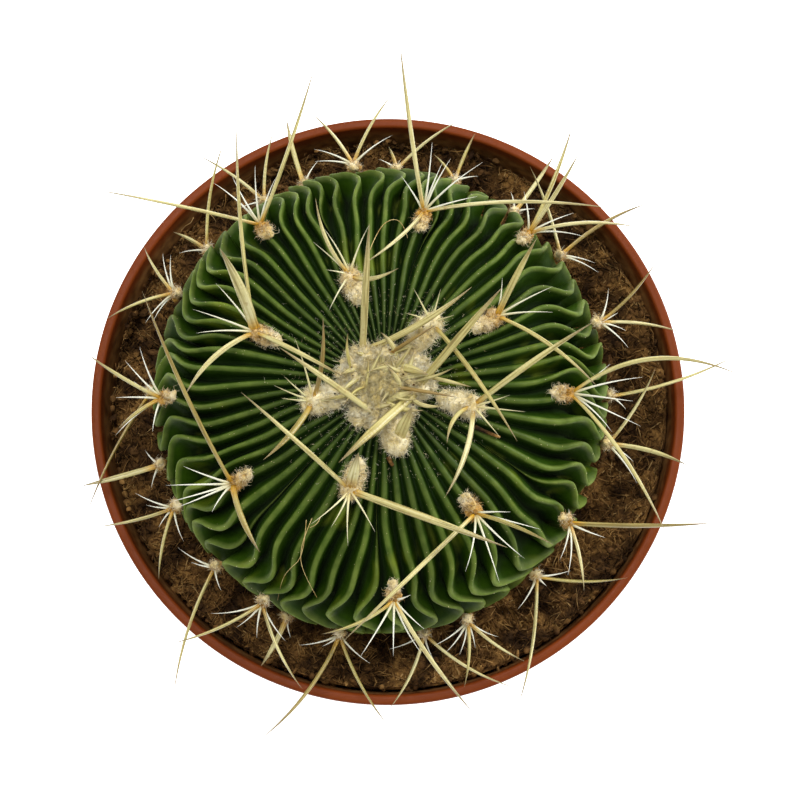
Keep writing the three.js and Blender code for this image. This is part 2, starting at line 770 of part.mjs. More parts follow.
// The wool of the crown is a low cushion with an uneven edge.
function crownCushion(grown) {
  const ball = new THREE.SphereGeometry(1, CROWN.sides, CROWN.rows);
  ball.rotateX(TAU / 4);
  const places = ball.attributes.position;
  for (let k = 0; k < places.count; k += 1) {
    const [x, y, z] = [places.getX(k), places.getY(k), places.getZ(k)];
    const edge = CROWN.radius + waves(CROWN.lobes, atan2(y, x)) + grown;
    places.setXYZ(k, x * edge, y * edge, z * (CROWN.thick + grown));
  }
  ball.translate(...crownMiddle());
  return toSolid(ball);
}

function crownMiddle() {
  return [...BODY.crownAt, crestProfile(CROWN.restsAt).h - CROWN.sunk];
}

function crown() {
  const up = new THREE.Vector3(0, 0, 1);
  const [x, y, h] = crownMiddle();
  const parts = [crownCushion(0)];
  for (const { from, spine } of CROWN_SPINES) {
    const [degrees, length, rise, width, bow = 0] = spine;
    const root = new THREE.Vector3(x + from[0], y + from[1], h + CROWN.core);
    parts.push(flatSpine(root, tipOf(root, degrees, length, rise), up, width, bow));
  }
  const place = seat(...CROWN_TUFT.at);
  const [degrees, length, rise, width] = CROWN_TUFT.spine;
  const root = place.at.clone().addScaledVector(place.out, PAD.core);
  parts.push(padSolid(place, 1, 0));
  parts.push(flatSpine(root, tipOf(root, degrees, length, rise), place.out, width, 0));
  const pits = [crownCushion(CLEARANCE), padSolid(place, 1, CLEARANCE)];
  return { solid: Manifold.union(parts), pit: Manifold.union(pits) };
}

const group = new THREE.Group();
const plant = new THREE.Group();
plant.position.z = POT.height;
group.add(plant);

for (const entry of AREOLES) drawRibsTo(rad(entry.at[0]), rad(entry.at[1]));
const wool = crown();
let body = cactusBody().add(rootCollar()).subtract(wool.pit);
plant.add(named('crown', toGeometry(wool.solid), WOOL));
AREOLES.forEach((entry, k) => {
  const { solid, pit } = areole(entry, k + 1);
  body = body.subtract(pit);
  const name = `areole_${String(k + 1).padStart(2, '0')}`;
  plant.add(named(name, toGeometry(solid), STRAW));
});
plant.add(named('cactus_body', toGeometry(largest(body)), SKIN));
group.add(named('pot', potBody(), PLASTIC));
group.add(named('soil', soilPlug(), COIR));

export default group;
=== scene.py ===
# %% [markdown]
# # A potted round cactus
#
# A flattened globe with dozens of thin, wavy ribs grows in a small plastic nursery pot. It
# is seen from almost straight above. The solid model is loaded first and never changed. Most
# pieces made here take the place of some of its nodes and keep their form, and a few are loose
# things too fine for solids. All lengths are in metres, so sizes are given as millimetres
# times MM.

# %% Load the frame
import math
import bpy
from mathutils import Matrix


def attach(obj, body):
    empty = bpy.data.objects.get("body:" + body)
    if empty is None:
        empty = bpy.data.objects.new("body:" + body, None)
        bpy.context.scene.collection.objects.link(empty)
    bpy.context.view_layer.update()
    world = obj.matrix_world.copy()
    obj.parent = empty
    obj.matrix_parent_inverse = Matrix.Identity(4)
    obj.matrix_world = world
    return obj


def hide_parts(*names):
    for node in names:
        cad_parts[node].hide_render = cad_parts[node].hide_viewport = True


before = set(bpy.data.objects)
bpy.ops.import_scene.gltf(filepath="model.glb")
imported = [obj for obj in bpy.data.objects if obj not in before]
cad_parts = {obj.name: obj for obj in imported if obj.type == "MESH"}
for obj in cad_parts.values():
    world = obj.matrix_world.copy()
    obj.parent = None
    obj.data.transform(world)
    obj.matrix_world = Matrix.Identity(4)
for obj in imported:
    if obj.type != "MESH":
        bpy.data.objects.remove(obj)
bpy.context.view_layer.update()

from types import SimpleNamespace

import bmesh
import bpy
import numpy as np
from mathutils import Matrix, Vector

MM = 0.001
TAU = 2 * math.pi

# %% [markdown]
# ## The camera
#
# The eye is 300 mm from the middle of the pot's rim, a little to the front. The lens makes
# one millimetre at the rim as many pixels as in the picture, and a small shift puts the
# middle of the rim where the picture has it. The same eye places the spines later on, so it
# is worked out first.

# %% The eye and the camera
PICTURE = 800
PIXELS_PER_MM = 6.99
RIM_MIDDLE_PIXEL = (387.4, 405.1)
RIM_HEIGHT = 66 * MM
EYE_DISTANCE = 300 * MM
EYE_TILT = math.radians(9)
EYE_TURN = math.radians(4.5)
SENSOR = 36

rim_middle = np.array([0, 0, RIM_HEIGHT])
to_eye = np.array([
    math.sin(EYE_TILT) * math.sin(EYE_TURN),
    -math.sin(EYE_TILT) * math.cos(EYE_TURN),
    math.cos(EYE_TILT),
])
eye = rim_middle + EYE_DISTANCE * to_eye
across = np.array([1, 0, 0]) - to_eye[0] * to_eye
across /= np.linalg.norm(across)
upward = np.cross(to_eye, across)

camera = bpy.data.objects.new("camera", bpy.data.cameras.new("camera"))
bpy.context.scene.collection.objects.link(camera)
camera.matrix_world = Matrix([
    [*pair, place] for *pair, place in zip(across, upward, to_eye, eye)
] + [[0, 0, 0, 1]])
camera.data.sensor_width = SENSOR
camera.data.lens = PIXELS_PER_MM * (EYE_DISTANCE / MM) * SENSOR / PICTURE
camera.data.shift_x = (PICTURE / 2 - RIM_MIDDLE_PIXEL[0]) / PICTURE
camera.data.shift_y = (RIM_MIDDLE_PIXEL[1] - PICTURE / 2) / PICTURE
bpy.context.scene.camera = camera
print("camera with a lens of", round(camera.data.lens, 1), "mm")

# %% [markdown]
# ## The stage
#
# A white floor, a white sky and three soft lights. The wide one overhead and the one from the
# upper right give the bright crests and the dark grooves, and a weak one from the upper left
# puts a soft shine on the waxy skin.

# %% Floor, lights and sky
FLOOR_REACH = 2.0
FLOOR_GLOW = 1.0
FLOOR_GREY = 0.9
FLOOR_ROUGHNESS = 0.9
SKY_GLOW = 0.55
WHITE = (1, 1, 1)
LIGHTS_AIM = (0, 0, 0.07)
# The name of each light, its place, its size and its power.
LIGHTS = [
    ("overhead", (-0.05, 0.2, 0.85), 0.4, 4.3),
    ("upper_left", (-0.5, 0.55, 0.55), 0.3, 1.0),
    ("upper_right", (0.6, 0.35, 0.5), 0.3, 4.8),
]


def flat_colour(material, colour, roughness, shine=0.5):
    """Sets the plain sockets of a material's shader and returns the shader."""
    material.use_nodes = True
    shader = material.node_tree.nodes["Principled BSDF"]
    shader.inputs["Base Color"].default_value = (*colour, 1)
    shader.inputs["Roughness"].default_value = roughness
    shader.inputs["Specular IOR Level"].default_value = shine
    return shader


def add_object(name, data):
    made = bpy.data.objects.new(name, data)
    bpy.context.scene.collection.objects.link(made)
    return made


print("the strongest light has", max(row[-1] for row in LIGHTS), "watts")

# %% Set the stage


def add_floor():
    mesh = bpy.data.meshes.new("floor")
    corners = [(-1, -1), (1, -1), (1, 1), (-1, 1)]
    mesh.from_pydata([(x * FLOOR_REACH, y * FLOOR_REACH, 0) for x, y in corners], [], [range(4)])
    floor = add_object("floor", mesh)
    material = bpy.data.materials.new("pale_floor")
    shader = flat_colour(material, (FLOOR_GREY,) * 3, FLOOR_ROUGHNESS)
    shader.inputs["Emission Color"].default_value = (*WHITE, 1)
    shader.inputs["Emission Strength"].default_value = FLOOR_GLOW
    mesh.materials.append(material)


def add_light(name, place, size, power):
    light = bpy.data.lights.new(name, "AREA")
    light.shape = "DISK"
    light.size = size
    light.energy = power
    lamp = add_object(name, light)
    lamp.location = place
    aim = Vector(LIGHTS_AIM) - Vector(place)
    lamp.rotation_euler = aim.to_track_quat("-Z", "Y").to_euler()


add_floor()
for light_row in LIGHTS:
    add_light(*light_row)
sky = bpy.data.worlds.new("sky")
bpy.context.scene.world = sky
sky.use_nodes = True
background = sky.node_tree.nodes["Background"]
background.inputs["Color"].default_value = (*WHITE, 1)
background.inputs["Strength"].default_value = SKY_GLOW
bpy.context.scene.view_settings.view_transform = "Standard"
print("a stage with", len(LIGHTS), "lights")

# %% [markdown]
# ## One way to write a formula
#
# The plant's shape is a formula. It is needed in two forms: with plain numbers, to find
# where a wool pad sits, and as a tree of nodes that bends a fine mesh. The helpers here let
# one formula serve both. A Field stands for a socket in a tree, and arithmetic on it adds
# nodes. On plain numbers the same functions fall back to numpy.

# %% Fields and plain numbers
PLAIN = {
    "ADD": np.add, "SUBTRACT": np.subtract, "MULTIPLY": np.multiply, "DIVIDE": np.divide,
    "POWER": np.power, "SINE": np.sin, "COSINE": np.cos, "ABSOLUTE": np.abs, "SIGN": np.sign,
    "MINIMUM": np.minimum, "MAXIMUM": np.maximum, "EXPONENT": np.exp, "SQRT": np.sqrt,
    "FLOOR": np.floor, "ARCTAN2": np.arctan2,
}


class Field:
    """A socket of a node tree that takes plain arithmetic."""

    def __init__(self, tree, socket):
        self.tree = tree
        self.socket = socket

    def is_vector(self):
        return self.socket.type in {"VECTOR", "RGBA"}

    def __add__(self, other):
        return calc("ADD", self, other)

    def __radd__(self, other):
        return calc("ADD", other, self)

    def __sub__(self, other):
        return calc("SUBTRACT", self, other)

    def __rsub__(self, other):
        return calc("SUBTRACT", other, self)

    def __mul__(self, other):
        return calc("MULTIPLY", self, other)

    def __rmul__(self, other):
        return calc("MULTIPLY", other, self)

    def __truediv__(self, other):
        return calc("DIVIDE", self, other)

    def __rtruediv__(self, other):
        return calc("DIVIDE", other, self)

    def part(self, axis):
        """The x, y or z of a vector."""
        return self.tree.add("ShaderNodeSeparateXYZ", {"Vector": self}, axis)


def calc(step, *values):
    """One step of a formula: a node if any value is a Field, and numpy if none is."""
    fields = [v for v in values if isinstance(v, Field)]
    if not fields:
        return PLAIN[step](*values)
    kind = "ShaderNodeVectorMath" if any(f.is_vector() for f in fields) else "ShaderNodeMath"
    return fields[0].tree.add(kind, dict(enumerate(values)), operation=step)


print(len(PLAIN), "steps of a formula work on sockets and on plain numbers")

# %% Helpers that formulas share


def least(a, b):
    return calc("MINIMUM", a, b)


def most(a, b):
    return calc("MAXIMUM", a, b)


def size_of(a):
    return calc("ABSOLUTE", a)


def sine(a):
    return calc("SINE", a)


def cosine(a):
    return calc("COSINE", a)


def between(a, low=0, high=1):
    return least(most(a, low), high)


def mix(a, b, share):
    return a + (b - a) * share


def nearest_whole(a):
    return calc("FLOOR", a + 0.5)


def power(base, exponent):
    """A power that keeps the sign of its base."""
    return calc("SIGN", base) * calc("POWER", size_of(base), exponent)


def ease(a, low, high):
    """Rises smoothly from 0 at low to 1 at high."""
    share = between((a - low) / (high - low))
    return share * share * (3 - 2 * share)


def hump(a):
    """A smooth hump: 1 in the middle, and 0 from -1 and 1 outwards."""
    return 0.5 + 0.5 * cosine(between(a, -1, 1) * math.pi)


def waves(table, turn):
    """A sum of waves that close up round the plant: how many, how high, where they start."""
    total = 0
    for count, height, start in table:
        total = total + height * sine(count * turn + start)
    return total


print("a formula's helpers give", round(float(ease(0.25, 0, 1)), 3), "for a quarter of the way")

# %% [markdown]
# ## A short way to build a node tree
#
# Each tree is a Geometry Nodes group with named inputs. A modifier's input is set by its
# socket's identifier, before the object is evaluated for the first time. The evaluated
# result is then copied to a plain mesh, and the modifier and the object that carried it go.

# %% Trees and pieces
SOCKETS = {float: "NodeSocketFloat", int: "NodeSocketInt"}


class Tree:
    """A Geometry Nodes tree with named inputs."""

    def __init__(self, name, sizes, material):
        self.group = bpy.data.node_groups.new(name, "GeometryNodeTree")
        self.group.is_modifier = True
        self.values = dict(sizes, Material=material)
        face = self.group.interface
        face.new_socket("Geometry", in_out="INPUT", socket_type="NodeSocketGeometry")
        face.new_socket("Geometry", in_out="OUTPUT", socket_type="NodeSocketGeometry")
        for label, value in sizes.items():
            face.new_socket(label, in_out="INPUT", socket_type=SOCKETS[type(value)])
        face.new_socket("Material", in_out="INPUT", socket_type="NodeSocketMaterial")
        self.start = self.group.nodes.new("NodeGroupInput")
        self.end = self.group.nodes.new("NodeGroupOutput")

    def size(self, label):
        return Field(self, self.start.outputs[label])

    def given(self):
        """The geometry that the tree works on."""
        return self.size("Geometry")

    def node(self, kind, inputs=None, **settings):
        """Adds a node, sets it up, and links or fills its inputs."""
        made = self.group.nodes.new(kind)
        for key, value in settings.items():
            setattr(made, key, value)
        for key, value in (inputs or {}).items():
            socket = made.inputs[key]
            if isinstance(value, Field):
                self.group.links.new(value.socket, socket)
            elif socket.type == "VECTOR" and isinstance(value, (int, float)):
                socket.default_value = (value, value, value)
            else:
                socket.default_value = value
        return made

    def add(self, kind, inputs=None, output=0, **settings):
        """As node(), but returns one of its outputs as a Field."""
        return Field(self, self.node(kind, inputs, **settings).outputs[output])

    def read(self, name, kind="FLOAT"):
        """A named attribute of the geometry."""
        return self.add("GeometryNodeInputNamedAttribute", {"Name": name}, data_type=kind)

    def store(self, geometry, name, value):
        """Keeps a number or a vector on the geometry under a name."""
        kind = "FLOAT_VECTOR" if isinstance(value, Field) and value.is_vector() else "FLOAT"
        return self.add(
            "GeometryNodeStoreNamedAttribute",
            {"Geometry": geometry, "Name": name, "Value": value}, data_type=kind,
        )

    def random(self, low, high, seed, kind="FLOAT"):
        """A random value from low to high, or a random vector."""
        first = 0 if kind == "FLOAT_VECTOR" else 2
        made = self.node(
            "FunctionNodeRandomValue", {first: low, first + 1: high, "Seed": seed}, data_type=kind,
        )
        return Field(self, made.outputs[0 if kind == "FLOAT_VECTOR" else 1])

    def vector(self, x, y, z):
        return self.add("ShaderNodeCombineXYZ", {0: x, 1: y, 2: z})

    def position(self):
        return self.add("GeometryNodeInputPosition")

    def shape(self, geometry, position):
        return self.add(
            "GeometryNodeSetPosition", {"Geometry": geometry, "Position": position},
        )

    def scatter(self, surface, density, seed):
        """Points at random over a surface, and the surface's way out at each."""
        made = self.node("GeometryNodeDistributePointsOnFaces", {
            "Mesh": surface, "Density": density, "Seed": seed,
        })
        return Field(self, made.outputs["Points"]), Field(self, made.outputs["Normal"])

    def copies(self, points, shape, **turned):
        """A copy of a shape on each point, as real geometry."""
        placed = self.add(
            "GeometryNodeInstanceOnPoints", {"Points": points, "Instance": shape, **turned},
        )
        return self.add("GeometryNodeRealizeInstances", {"Geometry": placed})

    def join(self, *parts):
        both = self.node("GeometryNodeJoinGeometry")
        for part in parts:
            self.group.links.new(part.socket, both.inputs[0])
        return Field(self, both.outputs[0])

    def finish(self, geometry):
        """Realizes the instances, sets the shading and the material, and ends the tree."""
        whole = self.add("GeometryNodeRealizeInstances", {"Geometry": geometry})
        shaded = self.add(
            "GeometryNodeSetShadeSmooth", {"Geometry": whole, "Shade Smooth": True},
        )
        done = self.add(
            "GeometryNodeSetMaterial", {"Geometry": shaded, "Material": self.size("Material")},
        )
        self.group.links.new(done.socket, self.end.inputs[0])

    def grow(self, name, mesh):
        """Runs the tree on a mesh and returns a new plain object with the result."""
        seed = add_object("seed_of_" + name, mesh)
        modifier = seed.modifiers.new("grow", "NODES")
        modifier.node_group = self.group
        for item in self.group.interface.items_tree:
            if item.in_out == "INPUT" and item.name in self.values:
                modifier[item.identifier] = self.values[item.name]
        view = bpy.context.evaluated_depsgraph_get()
        grown = bpy.data.meshes.new_from_object(
            seed.evaluated_get(view), preserve_all_data_layers=True, depsgraph=view,
        )
        bpy.data.objects.remove(seed)
        grown.name = name
        grown.calc_loop_triangles()
        print(name, "has", len(grown.loop_triangles), "triangles")
        return add_object(name, grown)


print("a tree's inputs can be of type", *[kind.__name__ for kind in SOCKETS])

# %% Points that carry values, and pieces that stay


def points_mesh(name, places, **attributes):
    """A mesh of loose points. Each attribute is a list of numbers or of vectors."""
    mesh = bpy.data.meshes.new(name)
    mesh.from_pydata([tuple(p) for p in places], [], [])
    for label, values in attributes.items():
        values = np.array(values, dtype=np.float32)
        kind = "FLOAT_VECTOR" if values.ndim == 2 else "FLOAT"
        layer = mesh.attributes.new(label, kind, "POINT")
        layer.data.foreach_set("vector" if values.ndim == 2 else "value", values.ravel())
    return mesh


def settle(piece, slot, *nodes):
    """Makes a piece part of the object, in the place of one or more nodes."""
    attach(piece, "root")
    if nodes:
        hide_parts(*nodes)


print("ready to build trees")

# %% [markdown]
# ## Materials from nodes
#
# A small class does for shaders what Tree does for geometry, so that a material reads as a
# few lines: where the colour comes from, how it varies, and how rough and bumpy it is.
# Colours are written as they look on a screen and turned into light values once.

# %% A finish from nodes


def screen(red, green, blue):
    """A colour given as on a screen, from 0 to 255, as light values."""
    shares = [c / 255 for c in (red, green, blue)]
    return tuple(c / 12.92 if c <= 0.04045 else ((c + 0.055) / 1.055) ** 2.4 for c in shares)


class Finish(Tree):
    """A material's node tree."""

    def __init__(self, name, roughness, shine=0.5):
        self.material = bpy.data.materials.new(name)
        self.shader = flat_colour(self.material, (0.5, 0.5, 0.5), roughness, shine)
        self.group = self.material.node_tree

    def attribute(self, name, output="Fac"):
        return self.add("ShaderNodeAttribute", output=output, attribute_name=name)

    def place(self):
        return self.add("ShaderNodeTexCoord", output="Object")

    def noise(self, size, detail=3, stretch=None):
        """Noise whose blobs are about `size` across, around one half."""
        spot = self.place()
        if stretch:
            spot = self.add("ShaderNodeMapping", {"Vector": spot, "Scale": stretch})
        return self.add(
            "ShaderNodeTexNoise", {"Vector": spot, "Scale": 1 / size, "Detail": detail},
        )

    def ramp(self, value, *stops):
        """Colours, or greys, at places along a value."""
        made = self.node("ShaderNodeValToRGB", {"Fac": value})
        line = made.color_ramp.elements
        while len(line) < len(stops):
            line.new(1)
        for element, (place, colour) in zip(line, stops):
            element.position = place
            grey = isinstance(colour, (int, float))
            element.color = (colour, colour, colour, 1) if grey else (*colour, 1)
        return Field(self, made.outputs["Color"])

    def blend(self, share, first, second, how="MIX"):
        """Two colours mixed by a share."""
        made = self.node("ShaderNodeMix", {"Factor": share}, data_type="RGBA", blend_type=how)
        for value, socket in ((first, made.inputs[6]), (second, made.inputs[7])):
            if isinstance(value, Field):
                self.group.links.new(value.socket, socket)
            else:
                socket.default_value = (*value, 1)
        return Field(self, made.outputs[2])

    def bump(self, height, strength, depth):
        made = self.add(
            "ShaderNodeBump", {"Height": height, "Strength": strength, "Distance": depth},
        )
        self.group.links.new(made.socket, self.shader.inputs["Normal"])

    def wear(self, **sockets):
        """Links or sets the shader's own inputs."""
        for key, value in sockets.items():
            socket = self.shader.inputs[key.replace("_", " ")]
            if isinstance(value, Field):
                self.group.links.new(value.socket, socket)
            else:
                socket.default_value = value
        return self.material


print("a mid grey on screen is", round(screen(128, 128, 128)[0], 3), "as light")

# %% [markdown]
# ## The rule of the ribs
#
# The crest line of a rib runs over a squashed ball: flat on top, round at the shoulder, and
# drawn in below. Round the plant stand 64 ribs. A place on the skin is given by its angle
# down from the crown and by a column number, which is whole on a crest and a half in a
# groove. The crests sway from side to side and more so on the shoulder, some ribs start part
# of the way down, and the ribs near a wool pad are drawn aside to pass under it. It is a rule
# and not a sculpted shape, because the solid model, the mesh and the pads all have to agree.

# %% Sizes of the plant
RIBS = 64
BODY = {
    "Radius": 32 * MM,
    "Stretch": 1.035,
    "Equator": 6 * MM,
    "Crown rise": 14.5 * MM,
    "Lower drop": 20 * MM,
    "Drawn": 0.85,
    "Dip": 1.2 * MM,
    "Dip radius": 5 * MM,
    "Crest thickness": 0.72 * MM,
    "Depth at crown": 0.6 * MM,
    "Depth at shoulder": 4.4 * MM,
    "Depth at foot": 3 * MM,
    "Sway": 0.36,
}
CROWN_AT = (-0.1 * MM, -0.45 * MM)
LEAN_TO = (-0.8 * MM, 0.45 * MM)
CREST_MOST = 0.26
CROWDING = (0.13, math.radians(110))
SWAY_TURNS = 1.55
SWAY_AT_ROOT = 0.35
SWAY_FROM, SWAY_TO = 0.25, 0.95
PHASE_WAVES = [(3, 2.2, 1), (7, 1.1, 0), (11, 0.3, 2)]
# A short wave ruffles the crests from the shoulder down.
RUFFLE, RUFFLE_TURNS, RUFFLE_AT_ROOT = 0.7, 3.3, 0.15
RUFFLE_FROM, RUFFLE_TO = 0.5, 1.05
RUFFLE_WAVES = [(4, 1.6, 0.4), (9, 0.2, 1)]
DRAW_RIBS, DRAW_ALONG = 3, 0.2
SHORTEST = 0.14
FULL_RIB = 0.8
# Ribs that start part of the way down: which one, where it starts, and where it is full.
SHORT_RIBS = [(12, 30, 60), (19, 36, 66), (30, 24, 50), (41, 40, 70), (48, 26, 56), (58, 34, 64)]
print(RIBS, "ribs, and", len(SHORT_RIBS), "of them are short")

# %% The crest line


def crest_profile(colat, body):
    """Distance from the middle, height over the rim, and the way out, r and z."""
    out_power = 2 - body["Drawn"]
    level = cosine(colat)
    r = body["Radius"] * power(sine(colat), body["Drawn"])
    above = ease(level, -0.001, 0.001)
    rise = mix(body["Lower drop"], body["Crown rise"], above)
    out_r = power(sine(colat), out_power) / body["Radius"]
    out_z = power(level, out_power) / rise
    length = calc("SQRT", out_r * out_r + out_z * out_z)
    ratio = r / body["Dip radius"]
    dip = body["Dip"] * calc("EXPONENT", -1 * ratio * ratio)
    h = body["Equator"] + rise * power(level, body["Drawn"]) - dip
    return r, h, out_r / length, out_z / length


def along(colat):
    """How far down the rib a place is: 0 at the crown, 1 at the widest part."""
    return calc("POWER", colat * (4 / TAU), 0.7)


print("the widest crest is", round(float(crest_profile(TAU / 4, BODY)[0]) / MM, 1), "mm out")

# %% The way round the plant


def fullness(colat, start, full):
    """How much of its height and room a short rib has."""
    return mix(SHORTEST, 1, ease(colat, math.radians(start), math.radians(full)))


def squeezed(rib, colat):
    """The share of the way round, with the short ribs squeezed."""
    lost = 0
    lost_in_all = 0
    for number, start, full in SHORT_RIBS:
        missing = 1 - fullness(colat, start, full)
        lost = lost + missing * between(rib - number + 0.5)
        lost_in_all = lost_in_all + missing
    return (rib - lost) / (RIBS - lost_in_all)


def free_bearing(rib, colat, height, body):
    """The angle round the plant before pads draw the ribs to them. Height is 1 on a crest."""
    turn = TAU * squeezed(rib, colat)
    phase = waves(PHASE_WAVES, nearest_whole(rib) * (TAU / RIBS))
    far = along(colat)
    part = ease(far, SWAY_FROM, SWAY_TO)
    swing = body["Sway"] * part * sine(far * (TAU * SWAY_TURNS) + phase)
    swing = swing * mix(SWAY_AT_ROOT, 1, height)
    phase = waves(RUFFLE_WAVES, nearest_whole(rib) * (TAU / RIBS))
    ruffle = RUFFLE * ease(far, RUFFLE_FROM, RUFFLE_TO) * sine(far * (TAU * RUFFLE_TURNS) + phase)
    swing = swing + ruffle * mix(RUFFLE_AT_ROOT, 1, height)
    return turn - CROWDING[0] * sine(turn - CROWDING[1]) + swing * (TAU / RIBS)


def nearness(rib, colat, pad_rib, pad_along, ribs=DRAW_RIBS, length=DRAW_ALONG):
    """1 at a pad and 0 away from it."""
    apart = rib - pad_rib + 1.5 * RIBS
    aside = apart - RIBS * calc("FLOOR", apart / RIBS) - RIBS / 2
    return hump(aside / ribs) * hump((along(colat) - pad_along) / length)


passes = math.degrees(float(free_bearing(RIBS / 4, TAU / 4, 1, BODY)))
print("a quarter of the way round, a crest is", round(passes), "degrees round the plant")

# %% A point of the skin


def groove_depth(colat, body):
    """How deep the grooves are: shallow by the crown, deepest at the shoulder."""
    down = ease(along(colat), 0.1, 1)
    under = ease(along(colat), 1, 1.3)
    upper = mix(body["Depth at crown"], body["Depth at shoulder"], down)
    return mix(upper, body["Depth at foot"], under)


def middle_at(r):
    """The middle of the plant at a distance from it: the crown is a little off centre."""
    return [CROWN_AT[k] + LEAN_TO[k] * (r / (32 * MM)) for k in (0, 1)]


def on_plant(turn, colat, sunk, body):
    """A point of the plant, sunk below the crests along the surface's way out."""
    r, h, out_r, out_z = crest_profile(colat, body)
    reach = r - sunk * out_r
    x, y = middle_at(r)
    return (
        x + reach * cosine(turn),
        y + reach * body["Stretch"] * sine(turn),
        h - sunk * out_z + RIM_HEIGHT,
    )


shoulder = [round(float(v) / MM, 1) for v in on_plant(0, TAU / 4, 0, BODY)]
print("the shoulder on the right is at", shoulder, "mm")

# %% [markdown]
# ## Where the wool pads are
#
# Each pad is given by its bearing round the plant and its angle down from the crown, read
# off the picture. A long spine is its seen bearing, its seen length, its rise over the
# level, its width and its bow, in degrees and millimetres. A fine one is its seen bearing
# and length. A rule could space the pads evenly, but this plant's are few and uneven, so
# they are listed. The solid model has its pads and spines in the same places.

